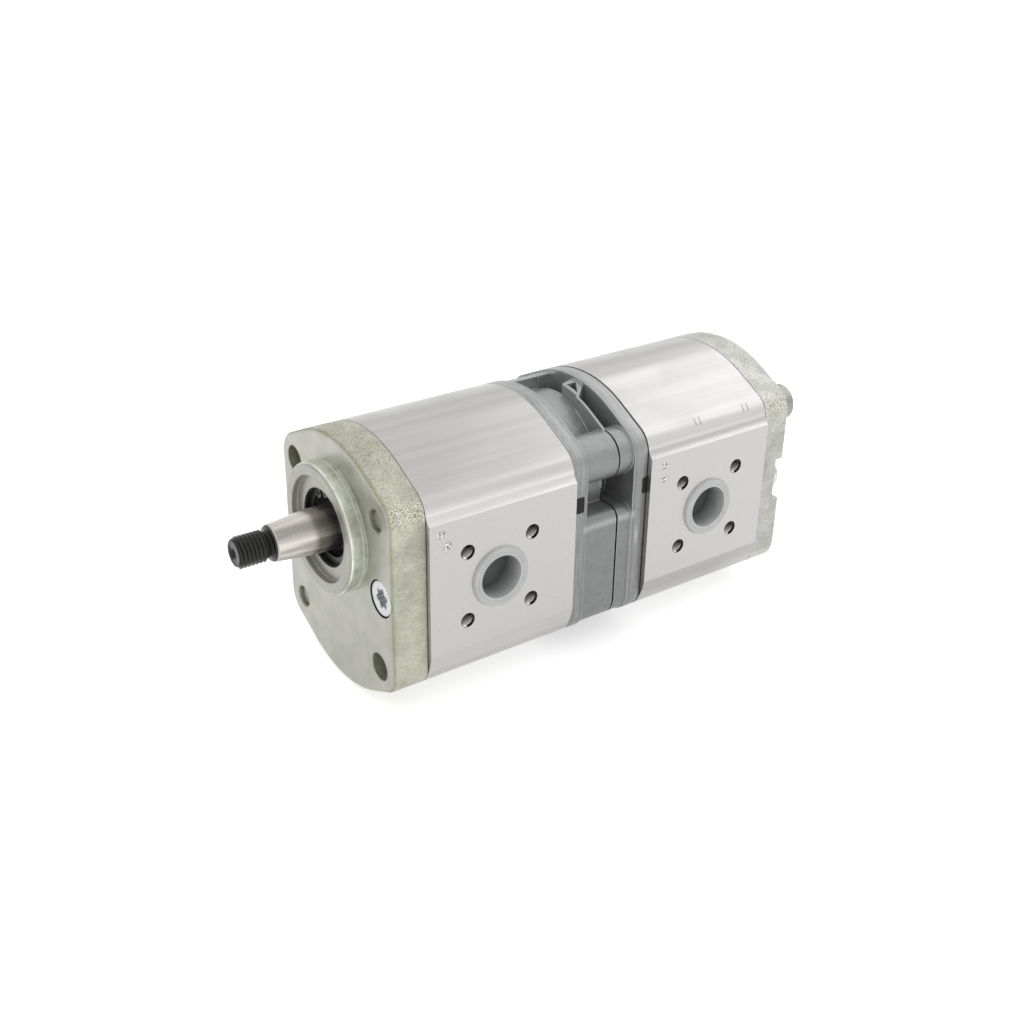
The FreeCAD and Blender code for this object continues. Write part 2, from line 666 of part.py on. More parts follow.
def mid_front_half():
    """The rear cover of the front stage: end plate, coupling barrel, bosses and seam flange."""
    plate_end = Y_MID + PLATE_FRONT_T
    parts = [*end_plate(Y_MID, plate_end), lower_block(plate_end, Y_SEAM),
             rod(BARREL_FRONT_R, plate_end, Y_SEAM), seam_flange(), window_end(plate_end)]
    parts += upper_bosses(plate_end, Y_SEAM)
    seat = Y_MID + DOG_CHAMBER_WALL
    tools = [rod(DOG_CHAMBER_R, seat, Y_SEAM + 1), rod(SHAFT_HOLE_R, Y_MID - 1, seat + 1), seam_seal()]
    tools += through_holes(Y_MID, Y_SEAM)
    tools += dowel_holes(Y_MID, DOWEL_PLACES) + dowel_holes(Y_SEAM, SEAM_DOWEL_PLACES)
    tools += [seam_relief(Y_SEAM - SEAM_RELIEF, Y_SEAM + 1), seam_relief(Y_MID - 1, Y_MID + SEAM_RELIEF)]
    tools += [body_seal_ring(Y_MID, Y_MID + BODY_SEAL_DEPTH)] + seal_tabs(Y_MID, 1, FRONT_TAB_DEPTH)
    return cut(fuse(parts), tools)


def seam_seal():
    """A plain ring round the coupling's chamber, sunk in the front casting at the seam."""
    y0 = Y_SEAM - SEAM_SEAL_DEPTH
    return rod(SEAM_SEAL_R + SEAM_SEAL_W, y0, Y_SEAM).cut(rod(SEAM_SEAL_R, y0 - 1, Y_SEAM + 1))


def lug(y0, y1):
    """A cast lug that narrows towards the rear plate, with a three-cornered pocket in its top."""
    top = BARREL_R + CORE_Z
    (seam_low, seam_high), (plate_low, plate_high) = LUG_SEAM_X, LUG_PLATE_X
    plan = [(seam_low, y0), (seam_high, y0), (plate_high, y1), (plate_low, y1)]
    pocket = [(seam_low + LUG_RIB, y0 + LUG_RIB), (seam_high - 2 * LUG_RIB, y0 + LUG_RIB),
              ((plate_low + plate_high) / 2, y1 - LUG_RIB)]
    solids = []
    for corners, depth in ((plan, top - BARREL_REAR_R + 4), (pocket, LUG_POCKET_DEPTH)):
        ring = [Vector(x, y, top) for x, y in corners + corners[:1]]
        solids.append(Part.Face(Part.makePolygon(ring)).extrude(Vector(0, 0, -depth)))
    return solids[0].common(prism(block_outline(RIM_INSET), y0, y1)).cut(solids[1])


def mid_rear_half():
    """The front cover of the rear stage: end plate, a smaller barrel, bosses and a lug."""
    plate_start = Y_BODY2 - PLATE_REAR_T
    parts = [*end_plate(Y_BODY2, plate_start), lower_block(Y_SEAM, plate_start),
             rod(BARREL_REAR_R, Y_SEAM, plate_start), lug(Y_SEAM, plate_start), window_end(plate_start)]
    parts += upper_bosses(Y_SEAM, plate_start)
    tools = [rod(DOG_CHAMBER_R, Y_SEAM - 1, DOG_SEAT_Y), rod(SHAFT_HOLE_R, DOG_SEAT_Y - 1, Y_BODY2 + 1)]
    tools += through_holes(Y_SEAM, Y_BODY2)
    tools += dowel_holes(Y_SEAM, SEAM_DOWEL_PLACES) + dowel_holes(Y_BODY2, DOWEL_PLACES)
    tools += [seam_relief(Y_SEAM - 1, Y_SEAM + SEAM_RELIEF)]
    tools += [seam_relief(Y_BODY2 - SEAM_RELIEF, Y_BODY2 + 1)]
    tools += [body_seal_ring(Y_BODY2 - BODY_SEAL_DEPTH, Y_BODY2)] + seal_tabs(Y_BODY2, -1, REAR_TAB_DEPTH)
    return cut(fuse(parts), tools)


def rear_cover():
    """The end cover, with a notch in each side for the heads of its screws."""
    plate = prism(block_outline(), Y_COVER2, Y_END)
    plate = plate.makeFillet(COVER_EDGE_R, edges_on(plate, Y_END))
    floor = Y_END - NOTCH_DEPTH
    tools = []
    for side in (-1, 1):
        x = side * COVER_SCREW_X
        reach = sorted((x, side * (FLANK_X + 2)))
        tools += [rod(NOTCH_R, floor, Y_END + 1, x, CORE_Z),
                  box(*reach, floor, Y_END + 1, CORE_Z - NOTCH_R, CORE_Z + NOTCH_R),
                  rod(COVER_SCREW_R, Y_COVER2 - 1, floor + 1, x, CORE_Z)]
    spot = Y_END - MOUNT_SPOTFACE_DEPTH
    tools += [rod(MOUNT_SPOTFACE_R, spot, Y_END + 1, x, z) for x, z in MOUNT_PLACES]
    tools += through_holes(Y_COVER2, Y_END) + dowel_holes(Y_COVER2, DOWEL_PLACES)
    tools += [body_seal_ring(Y_COVER2, Y_COVER2 + BODY_SEAL_DEPTH)]
    return cut(plate, tools)


def shaft_seal():
    """A rubber lip seal: a cased outer wall, ribs on its face and a lip round the shaft."""
    y1 = SEAL_BORE_END
    y0 = y1 - SEAL_W
    lip, neck = JOURNAL_R + JOURNAL_CLEARANCE, SHAFT_HOLE_R
    return turned([(SEAL_BORE_R, y0), (SEAL_BORE_R, y1), (neck + 0.6, y1), (neck + 0.6, y0 + 3.4),
                   (lip + 0.5, y0 + 4.0), (lip, y0 + 3.2), (lip + 0.6, y0 + 2.2), (lip + 0.6, y0 + 1.6),
                   (lip, y0 + 0.8), (lip + 0.5, y0 + 0.2), (neck + 0.8, y0 + 1.4), (neck + 1.8, y0 + 1.4),
                   (neck + 2.2, y0 + 0.5), (neck + 2.8, y0 + 0.5), (neck + 3.2, y0)])


def circlip():
    """A retaining ring with two drilled lugs at its gap."""
    y0, y1 = circlip_span()
    y0, y1 = y0 + CIRCLIP_SLACK, y1 - CIRCLIP_SLACK
    outer = SEAL_BORE_R + CIRCLIP_GROOVE_DEPTH - CIRCLIP_SLACK
    ring = rod(outer, y0, y1).cut(rod(CIRCLIP_INNER_R, y0 - 1, y1 + 1, 0, 0.5))
    gap = math.radians(CIRCLIP_GAP_ANGLE)
    ends = [polar(CIRCLIP_INNER_R + 0.3, gap + side * CIRCLIP_LUG_SPREAD) for side in (-1, 1)]
    lugs = [rod(CIRCLIP_LUG_R, y0, y1, p.x, p.z) for p in ends]
    slot = box(-CIRCLIP_GAP / 2, CIRCLIP_GAP / 2, y0 - 1, y1 + 1, 0, outer + 1)
    slot.rotate(Vector(0, 0, 0), Vector(0, 1, 0), 90 - CIRCLIP_GAP_ANGLE)
    holes = [rod(CIRCLIP_LUG_HOLE_R, y0 - 1, y1 + 1, p.x, p.z) for p in ends]
    return cut(fuse([ring] + lugs), [slot] + holes)


def port_plug(side, bore_r, y):
    """A soft shipping plug: a thin cup with a rim that laps the port's edge."""
    r = bore_r - PLUG_FIT
    wall = PLUG_WALL
    profile = [(0, -PLUG_DEPTH), (r, -PLUG_DEPTH), (r, 0), (r + PLUG_FLANGE, 0),
               (r + PLUG_FLANGE - 0.4, PLUG_FLANGE_T), (r - wall, PLUG_FLANGE_T),
               (r - wall, -PLUG_DEPTH + PLUG_FLOOR), (0, -PLUG_DEPTH + PLUG_FLOOR)]
    plug = turned(profile)
    plug.rotate(Vector(0, 0, 0), Vector(0, 0, 1), -90 * side)
    plug.translate(Vector(side * PAD_X, y, CORE_Z))
    return plug


def stage(name, y0, y1, port_y, gear_w):
    """The bearing blocks, bushes and pressure seals of one stage."""
    g0, g1 = gear_span(port_y, gear_w)
    spans = {"front": (y0, g0 - SIDE_CLEARANCE, 1), "rear": (g1 + SIDE_CLEARANCE, y1, -1)}
    made = {}
    for end, (a, b, gear_side) in spans.items():
        made[f"{name}_bearing_block_{end}"] = bearing_block(a, b, gear_side)
        for which, z in (("drive", DRIVE_Z), ("driven", DRIVEN_Z)):
            made[f"{name}_{which}_bush_{end}"] = bush(z, a, b)
        back = a if gear_side > 0 else b
        span = sorted((back, back + gear_side * BALANCE_SEAL_DEPTH))
        made[f"{name}_pressure_seal_{end}"] = balance_track(*span)
    return made


def build():
    front_gear = gear_span(FRONT_PORT_Y, FRONT_GEAR_W)
    rear_gear = gear_span(REAR_PORT_Y, REAR_GEAR_W)
    nodes = {
        "front_cover": front_cover(),
        "shaft_seal": shaft_seal(),
        "seal_circlip": circlip(),
        "front_body": pump_body(Y_BODY1, Y_MID, FRONT_PORT_Y, -1),
        "front_drive_shaft": front_drive_shaft(),
        "front_driven_gear": plain_gear_shaft(DRIVEN_Z, driven_phase(), front_gear,
                                              Y_BODY1 + SHAFT_END_GAP, Y_MID - SHAFT_END_GAP),
        "front_body_seal": body_seal_ring(Y_BODY1 - BODY_SEAL_DEPTH, Y_BODY1),
        "front_joint_seal": tabbed_seal(Y_MID, 1, FRONT_TAB_DEPTH),
        "intermediate_front_half": mid_front_half(),
        "seam_seal": seam_seal(),
        "coupling_dog": coupling_dog(),
        "intermediate_rear_half": mid_rear_half(),
        "rear_joint_seal": tabbed_seal(Y_BODY2, -1, REAR_TAB_DEPTH),
        "rear_body": pump_body(Y_BODY2, Y_COVER2, REAR_PORT_Y, 1),
        "rear_drive_shaft": rear_drive_shaft(),
        "rear_driven_gear": plain_gear_shaft(DRIVEN_Z, driven_phase(), rear_gear,
                                             Y_BODY2 + SHAFT_END_GAP, Y_COVER2 - SHAFT_END_GAP),
        "rear_body_seal": body_seal_ring(Y_COVER2, Y_COVER2 + BODY_SEAL_DEPTH),
        "rear_cover": rear_cover(),
        "tie_bolts": tie_bolts(),
        "front_cover_screws": front_cover_screws(),
        "rear_cover_screws": rear_cover_screws(),
        "front_cover_dowels": dowels(Y_BODY1, DOWEL_PLACES),
        "front_joint_dowels": dowels(Y_MID, DOWEL_PLACES),
        "seam_dowels": dowels(Y_SEAM, SEAM_DOWEL_PLACES),
        "rear_joint_dowels": dowels(Y_BODY2, DOWEL_PLACES),
        "rear_cover_dowels": dowels(Y_COVER2, DOWEL_PLACES),
        "front_suction_plug": port_plug(1, SUCTION_BORE_R, FRONT_PORT_Y),
        "rear_suction_plug": port_plug(1, SUCTION_BORE_R, REAR_PORT_Y),
        "front_pressure_plug": port_plug(-1, PRESSURE_BORE_R, FRONT_PORT_Y),
        "rear_pressure_plug": port_plug(-1, PRESSURE_BORE_R, REAR_PORT_Y),
    }
    nodes.update(stage("front", Y_BODY1, Y_MID, FRONT_PORT_Y, FRONT_GEAR_W))
    nodes.update(stage("rear", Y_BODY2, Y_COVER2, REAR_PORT_Y, REAR_GEAR_W))
    return nodes


for node, shape in build().items():
    shape.exportStep(f"parts/{node}.step")
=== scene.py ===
import json
import math

import bmesh
import bpy
from mathutils import Matrix, Vector


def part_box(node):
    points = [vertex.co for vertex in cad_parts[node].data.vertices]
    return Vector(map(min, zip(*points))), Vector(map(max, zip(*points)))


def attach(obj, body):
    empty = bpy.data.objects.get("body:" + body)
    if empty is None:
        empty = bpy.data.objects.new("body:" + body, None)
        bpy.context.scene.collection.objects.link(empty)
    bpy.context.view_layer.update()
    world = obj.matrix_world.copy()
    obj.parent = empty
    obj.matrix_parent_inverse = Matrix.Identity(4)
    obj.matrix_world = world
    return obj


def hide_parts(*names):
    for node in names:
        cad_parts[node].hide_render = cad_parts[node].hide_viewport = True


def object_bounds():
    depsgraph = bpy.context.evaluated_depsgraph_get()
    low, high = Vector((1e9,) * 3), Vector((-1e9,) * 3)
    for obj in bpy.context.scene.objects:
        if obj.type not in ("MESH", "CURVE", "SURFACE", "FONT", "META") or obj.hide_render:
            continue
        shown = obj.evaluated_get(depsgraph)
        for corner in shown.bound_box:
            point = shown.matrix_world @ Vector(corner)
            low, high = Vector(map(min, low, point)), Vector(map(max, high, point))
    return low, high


# Looks of a tandem gear pump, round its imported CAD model.
# Values marked with MM are in metres, as the frame is. New pieces are modelled in millimetres.

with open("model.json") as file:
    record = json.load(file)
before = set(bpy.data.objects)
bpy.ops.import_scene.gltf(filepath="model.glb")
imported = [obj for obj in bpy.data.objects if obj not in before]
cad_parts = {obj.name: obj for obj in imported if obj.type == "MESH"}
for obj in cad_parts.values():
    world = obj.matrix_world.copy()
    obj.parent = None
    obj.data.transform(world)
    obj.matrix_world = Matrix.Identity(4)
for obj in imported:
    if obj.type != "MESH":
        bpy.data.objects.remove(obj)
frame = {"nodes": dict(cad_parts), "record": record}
NODES = frame["nodes"]
CAD_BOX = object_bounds()
MM = 0.001
SHARP_ANGLE = math.radians(32)

# The photograph's camera, fitted to the pump's port screw squares and cover outlines
CAMERA_PLACE = Vector((389.45, -197.82, 230.53)) * MM
CAMERA_AZIMUTH = math.radians(54.552)
CAMERA_ELEVATION = math.radians(27.435)
CAMERA_ROLL = math.radians(0.902)
CAMERA_LENS = 47.13

# Places read from the frame
COVER_LOW, COVER_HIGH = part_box("front_cover")
PILOT_Y = COVER_LOW.y
FRONT_JOINT_Y = COVER_HIGH.y
FLANK_X = COVER_HIGH.x
FLOOR_Z = COVER_LOW.z
CORE_Z = (COVER_LOW.z + COVER_HIGH.z) / 2
FACE_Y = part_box("front_cover_screws")[0].y
REAR_JOINT_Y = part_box("rear_cover")[0].y
END_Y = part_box("rear_cover")[1].y
PAD_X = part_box("front_body")[1].x
SEAM_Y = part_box("intermediate_front_half")[1].y
CASTING_MIDDLE_Y = (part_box("intermediate_front_half")[0].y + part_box("intermediate_rear_half")[1].y) / 2
PORT_YS = [sum(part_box(plug), Vector()).y / 2 for plug in ("front_suction_plug", "rear_suction_plug")]
PORTS_MIDDLE_Y = sum(PORT_YS) / 2
PORTS_HALF_Y = (PORT_YS[1] - PORT_YS[0]) / 2

# The front cover's pilot, its painted highlight line, painted shade in the seal bore and screw rings, painted
# corner glints
PILOT_R = 25.0 * MM
PILOT_FOOT_Y = -0.3 * MM
PILOT_HIGHLIGHT_LINE_Y = -1.8 * MM
SEAL_BORE_R = 15.0 * MM
SEAL_BORE_END_Y = 5.1 * MM
OIL_AND_SHADE_RING_R = 7.35 * MM
CORNER_Z = 18.5 * MM

# The bodies' shoulders with painted light, knocked corners, painted shade in the holes, and punched strokes
SHOULDER_Z = 30.5 * MM
KNOCK_PLACES = ((19.4, 9.0), (22.0, 3.8), (121.5, 8.7), (121.9, 3.1))
KNOCKS = [Vector((PAD_X, y * MM, z * MM)) for y, z in KNOCK_PLACES]
HOLE_SHADE_HALF_Y = 22.0 * MM
HOLE_SHADE_HALF_Z = 27.0 * MM
STROKES_Y = 153.7 * MM
STROKES_SPREAD = 25.5 * MM
STROKES_GAP = 2.4 * MM
STROKES_Z = 20.95 * MM
STROKES_HALF = 1.35 * MM

# The intermediate's core between its plates, its bosses, painted highlight on the ledge, and scuffed rim
CASTING_CORE_HALF_Y = 12.6 * MM
BOSS_TOP_Z = 24.2 * MM
LEDGE_HIGHLIGHT_Z = -9.6 * MM
SCUFF_PLACE = Vector((FLANK_X, 110.6 * MM, -19.3 * MM))
SCUFF_HALF = (4 * MM, 1.1 * MM, 5 * MM)

# The shaft's collar: the taper's grinding brightened the part beside the taper
COLLAR_END_Y = -25.0 * MM
COLLAR_BRIGHT_Y = -25.9 * MM

# Rings on a shipping plug's mouth: radius, half width and shade
PLUG_RINGS = ((8.9 * MM, 0.45 * MM, 1.08), (9.9 * MM, 0.3 * MM, 0.86))

# Threads: an M12 fine stub on the shaft and M6 screw holes round the ports
STUB_CREST_R = 5.92
STUB_ROOT_R = 5.05
STUB_PITCH = 1.5
STUB_FRONT_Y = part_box("front_drive_shaft")[0].y / MM
STUB_REAR_Y = -28.2
BLACKENED_END_Y = -25.6
UNDERCUT_R = 4.9
RUN_OUT_SLOPE = 1.2
SHAFT_CUT_Y = -27.8
CENTRE_HOLE_R = 2.1
CENTRE_HOLE_TIP_R = 0.5
CENTRE_HOLE_DEPTH = 2.4
PORT_THREAD_R = 3.02
PORT_THREAD_INNER_R = 2.48
PORT_THREAD_PITCH = 1.0
PORT_THREAD_TURNS = 11
PORT_THREAD_START = 0.5
SUCTION_HALF_SQUARE = 40.0 / math.sqrt(8)
PRESSURE_HALF_SQUARE = 35.0 / math.sqrt(8)

# Flush screws with a six-pointed star recess, both turned alike, in radians
SCREW_HEAD_R = 6.8
SCREW_HEAD_EDGE = 0.25
SCREW_HEAD_RIM = 0.8
SCREW_SHANK_R = 4.0
SCREW_POINT = 1.0
SCREW_SINK = 0.4
SCREW_TURN = 0.3
STAR_R = 3.5
STAR_WAVE = 0.55
STAR_CHAMFER = 0.3
STAR_CHAMFER_DEPTH = 0.35
STAR_DEPTH = 2.8
SCREW_PLACE = Vector((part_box("front_cover_screws")[1].x - SCREW_HEAD_R * MM, 0, CORE_Z))


def srgb(code):
    """An sRGB hex colour as linear RGBA."""
    shares = [int(code[i:i + 2], 16) / 255 for i in (0, 2, 4)]
    return [s / 12.92 if s <= 0.04045 else ((s + 0.055) / 1.055) ** 2.4 for s in shares] + [1.0]


def per_mm(size):
    """The scale of a pattern on Object coordinates whose features are this many millimetres."""
    return 1 / (size * MM)


def feed(tree, node, inputs):
    """Sets a node's inputs, by name or number, each to a value or to the socket that feeds it."""
    for name, value in inputs.items():
        if isinstance(value, bpy.types.NodeSocket):
            tree.links.new(value, node.inputs[name])
        else:
            node.inputs[name].default_value = value


def add(tree, kind, inputs=None, stops=(), **settings):
    """Adds a node with its inputs and settings; a colour ramp's stops are positions and hex colours."""
    node = tree.nodes.new(kind)
    for name, value in settings.items():
        setattr(node, name, value)
    feed(tree, node, inputs or {})
    for index, (position, code) in enumerate(stops):
        if index > 1:
            node.color_ramp.elements.new(position)
        node.color_ramp.elements[index].position = position
        node.color_ramp.elements[index].color = srgb(code)
    return node


def apart(tree, value, middle):
    """How far a value lies from another, to either side."""
    gap = add(tree, "ShaderNodeMath", {0: value, 1: middle}, operation="SUBTRACT").outputs[0]
    return add(tree, "ShaderNodeMath", {0: gap}, operation="ABSOLUTE").outputs[0]


def off_shaft_axis(tree, place):
    """How far a place lies from the drive shaft's axis."""
    radial = add(tree, "ShaderNodeMapping", {"Vector": place, "Scale": (1.0, 0.0, 1.0)}).outputs[0]
    return add(tree, "ShaderNodeVectorMath", {0: radial}, operation="LENGTH").outputs["Value"]


def start(name, edge_mm, samples=4):
    """A material with its shader, its Object coordinates and a normal that rounds every sharp edge."""
    material = bpy.data.materials.new(name)
    material.use_nodes = True
    tree = material.node_tree
    shader = tree.nodes["Principled BSDF"]
    place = add(tree, "ShaderNodeTexCoord").outputs["Object"]
    rounded = add(tree, "ShaderNodeBevel", {"Radius": edge_mm * MM}, samples=samples).outputs["Normal"]
    return material, tree, shader, place, rounded


def plated_casting(name, face_y, outward, joint_y, side_shade, dark, light):
    """Zinc-plated grey iron: a grainy sand-cast skin with a thin olive passivation.
    The faces that were machined before plating are smoother and more silvery; they end at face_y.
    The joint with the body is at joint_y."""
    material, tree, shader, place, rounded = start(name, 1.0)
    axes = add(tree, "ShaderNodeSeparateXYZ", {0: place}).outputs
    across = apart(tree, axes["X"], 0)
    radius = off_shaft_axis(tree, place)
    ahead = add(tree, "ShaderNodeMath", {0: axes["Y"], 1: outward, 2: -outward * face_y + 0.35 * MM},
                operation="MULTIPLY_ADD").outputs[0]
    face = add(tree, "ShaderNodeMapRange", {0: ahead, 1: 0.0, 2: 0.2 * MM}).outputs[0]
    side = add(tree, "ShaderNodeMapRange", {0: across, 1: FLANK_X - 0.5 * MM,
                                            2: FLANK_X - 0.1 * MM}).outputs[0]
    # passivation clouds of about 9 mm, and the skin's grain, pits and streaks
    cloud = add(tree, "ShaderNodeTexNoise", {"Vector": place, "Scale": per_mm(9), "Detail": 3.0,
                                             "Distortion": 0.6}).outputs["Fac"]
    grain = add(tree, "ShaderNodeTexNoise", {"Vector": place, "Scale": per_mm(0.5), "Detail": 3.0,
                                             "Roughness": 0.6}).outputs["Fac"]
    pit = add(tree, "ShaderNodeTexNoise", {"Vector": place, "Scale": per_mm(1.1),
                                           "Detail": 3.0}).outputs["Fac"]
    pit = add(tree, "ShaderNodeMapRange", {0: pit, 1: 0.58, 2: 0.68, 3: 1.0, 4: 0.6}).outputs[0]
    # on the flanks the pits are softer, and side_shade is a painted shade there: below 1 it darkens the
    # flanks
    side_pit = add(tree, "ShaderNodeMapRange", {0: pit, 1: 0.0, 2: 1.0, 3: side_shade - 0.4,
                                                4: side_shade}).outputs[0]
    pit = add(tree, "ShaderNodeMix", {0: side, 2: pit, 3: side_pit}).outputs[0]
    drawn = add(tree, "ShaderNodeMapping", {"Vector": place, "Scale": (1.0, 0.22, 1.0)}).outputs[0]
    streak = add(tree, "ShaderNodeTexNoise", {"Vector": drawn, "Scale": per_mm(0.45),
                                              "Detail": 3.0}).outputs["Fac"]
    skin = add(tree, "ShaderNodeValToRGB", {0: cloud}, stops=((0.3, dark), (0.7, light))).outputs[0]
    soft_streak = add(tree, "ShaderNodeMapRange", {0: streak, 3: 0.28, 4: 0.72}).outputs[0]
    relief = add(tree, "ShaderNodeMix", {0: side, 2: grain, 3: soft_streak}).outputs[0]
    speckle = add(tree, "ShaderNodeMapRange", {0: relief, 1: 0.34, 2: 0.66, 3: 0.7, 4: 1.3}).outputs[0]
    speckle = add(tree, "ShaderNodeMath", {0: speckle, 1: pit}, operation="MULTIPLY").outputs[0]
    skin = add(tree, "ShaderNodeMix", {0: 0.8, 6: skin, 7: speckle}, data_type="RGBA",
               blend_type="MULTIPLY").outputs[2]
    # painted glints on the bright grains of the corner above each flank, with dark grains between
    corner = add(tree, "ShaderNodeMapRange", {0: apart(tree, axes["Z"], CORNER_Z), 1: 2 * MM, 2: 6 * MM,
                                              3: 0.55, 4: 0.0}).outputs[0]
    outer = add(tree, "ShaderNodeMapRange", {0: across, 1: FLANK_X - 5 * MM,
                                             2: FLANK_X - 3 * MM}).outputs[0]
    corner = add(tree, "ShaderNodeMath", {0: corner, 1: outer}, operation="MULTIPLY").outputs[0]
    for low, high, code in ((0.5, 0.56, "F4F4E4"), (0.46, 0.4, "84846A")):
        glint = add(tree, "ShaderNodeMapRange", {0: grain, 1: low, 2: high}).outputs[0]
        glint = add(tree, "ShaderNodeMath", {0: glint, 1: corner}, operation="MULTIPLY").outputs[0]
        skin = add(tree, "ShaderNodeMix", {0: glint, 6: skin, 7: srgb(code)}, data_type="RGBA").outputs[2]
    # the passivation is thickest in a thin line along the machined edge
    brink = add(tree, "ShaderNodeMapRange", {0: ahead, 1: -1.1 * MM, 2: -0.3 * MM,
                                             3: 0.0, 4: 0.45}).outputs[0]
    skin = add(tree, "ShaderNodeMix", {0: brink, 6: skin, 7: srgb("83835F")}, data_type="RGBA").outputs[2]
    # a thin line of oil lies in the joint
    seep = add(tree, "ShaderNodeMapRange", {0: apart(tree, axes["Y"], joint_y), 1: 0.2 * MM, 2: 0.4 * MM,
                                            3: 0.85, 4: 0.0}).outputs[0]
    skin = add(tree, "ShaderNodeMix", {0: seep, 6: skin, 7: srgb("3F3F37")}, data_type="RGBA").outputs[2]
    bright = add(tree, "ShaderNodeValToRGB", {0: cloud},
                 stops=((0.3, "A4A59A"), (0.66, "B1B1AA"))).outputs[0]
    colour = add(tree, "ShaderNodeMix", {0: face, 6: skin, 7: bright}, data_type="RGBA").outputs[2]
    # the pilot's end is duller than the face, and the face beside the pilot, towards the suction side,
    # is darkened by a painted dark reflection of the pilot
    beside = add(tree, "ShaderNodeMapRange", {0: radius, 1: PILOT_R + 2 * MM, 2: PILOT_R + 10 * MM,
                                              3: 0.8, 4: 1.0}).outputs[0]
    upper = add(tree, "ShaderNodeMapRange", {0: axes["Z"], 1: -18 * MM, 2: -6 * MM}).outputs[0]
    near = add(tree, "ShaderNodeMapRange", {0: axes["X"], 1: 2 * MM, 2: 12 * MM}).outputs[0]
    near = add(tree, "ShaderNodeMath", {0: near, 1: upper}, operation="MULTIPLY").outputs[0]
    near = add(tree, "ShaderNodeMath", {0: near, 1: face}, operation="MULTIPLY").outputs[0]
    beside = add(tree, "ShaderNodeMix", {0: near, 2: 1.0, 3: beside}).outputs[0]
    on_pilot = add(tree, "ShaderNodeMath", {0: axes["Y"], 1: PILOT_FOOT_Y}, operation="LESS_THAN").outputs[0]
    dull_and_painted_shade = add(tree, "ShaderNodeMapRange", {0: on_pilot, 3: beside, 4: 0.84}).outputs[0]
    colour = add(tree, "ShaderNodeMix", {0: 1.0, 6: colour, 7: dull_and_painted_shade}, data_type="RGBA",
                 blend_type="MULTIPLY").outputs[2]
    # the pilot's wall was turned to size and is brighter, with green and grey passivation patches,
    # and a painted highlight line near its foot
    patches = add(tree, "ShaderNodeTexNoise", {"Vector": place, "Scale": per_mm(5.5), "Detail": 4.0,
                                               "Roughness": 0.6}).outputs["Fac"]
    turned = add(tree, "ShaderNodeValToRGB", {0: patches},
                 stops=((0.34, "B4B6AD"), (0.5, "D6DACA"), (0.66, "E6EAE2"))).outputs[0]
    wall = add(tree, "ShaderNodeMath", {0: radius, 1: PILOT_R - 0.4 * MM},
               operation="GREATER_THAN").outputs[0]
    wall = add(tree, "ShaderNodeMath", {0: wall, 1: on_pilot}, operation="MULTIPLY").outputs[0]
    colour = add(tree, "ShaderNodeMix", {0: wall, 6: colour, 7: turned}, data_type="RGBA").outputs[2]
    line = add(tree, "ShaderNodeMapRange", {0: apart(tree, axes["Y"], PILOT_HIGHLIGHT_LINE_Y), 1: 0.12 * MM,
                                            2: 0.35 * MM, 3: 0.9, 4: 0.0}).outputs[0]
    line = add(tree, "ShaderNodeMath", {0: line, 1: wall}, operation="MULTIPLY").outputs[0]
    colour = add(tree, "ShaderNodeMix", {0: line, 6: colour, 7: srgb("FCFDF8")}, data_type="RGBA").outputs[2]
    # dark oil and painted shade lie in the ring round each flush screw
    from_screw = add(tree, "ShaderNodeCombineXYZ", {0: across, 2: axes["Z"]}).outputs[0]
    from_screw = add(tree, "ShaderNodeVectorMath", {0: from_screw, 1: SCREW_PLACE},
                     operation="DISTANCE").outputs["Value"]
    ring = add(tree, "ShaderNodeMath", {0: from_screw, 1: OIL_AND_SHADE_RING_R}, operation="LESS_THAN").outputs[0]
    below = add(tree, "ShaderNodeMath", {0: axes["Y"], 1: 0.05 * MM}, operation="GREATER_THAN").outputs[0]
    oil = add(tree, "ShaderNodeMath", {0: ring, 1: below}, operation="MULTIPLY").outputs[0]
    colour = add(tree, "ShaderNodeMix", {0: oil, 6: colour, 7: srgb("2B2A27")}, data_type="RGBA").outputs[2]
    # painted shade darkens the shaft seal's bore, more so further in
    bore = add(tree, "ShaderNodeMath", {0: radius, 1: SEAL_BORE_R + 0.2 * MM},
               operation="LESS_THAN").outputs[0]
    fore = add(tree, "ShaderNodeMath", {0: axes["Y"], 1: SEAL_BORE_END_Y}, operation="LESS_THAN").outputs[0]
    far_in = add(tree, "ShaderNodeMapRange", {0: axes["Y"], 1: PILOT_Y + 2.55 * MM, 2: PILOT_Y + 4.2 * MM,
                                              3: 0.8, 4: 0.95}).outputs[0]
    painted_bore_shade = add(tree, "ShaderNodeMath", {0: bore, 1: fore}, operation="MULTIPLY").outputs[0]
    painted_bore_shade = add(tree, "ShaderNodeMath", {0: painted_bore_shade, 1: far_in}, operation="MULTIPLY").outputs[0]
    colour = add(tree, "ShaderNodeMix", {0: painted_bore_shade, 6: colour, 7: srgb("262521")},
                 data_type="RGBA").outputs[2]
    rough = add(tree, "ShaderNodeMapRange", {0: face, 3: 0.5, 4: 0.32}).outputs[0]
    rough = add(tree, "ShaderNodeMix", {0: wall, 2: rough, 3: 0.36}).outputs[0]
    depth = add(tree, "ShaderNodeMapRange", {0: face, 3: 1.0, 4: 0.05}).outputs[0]
    height = add(tree, "ShaderNodeMath", {0: relief, 1: depth}, operation="MULTIPLY").outputs[0]
    bump = add(tree, "ShaderNodeBump", {"Height": height, "Normal": rounded, "Strength": 0.75,
                                        "Distance": 0.35 * MM}).outputs[0]
    feed(tree, shader, {"Metallic": 0.85, "Base Color": colour, "Roughness": rough, "Normal": bump})
    return material


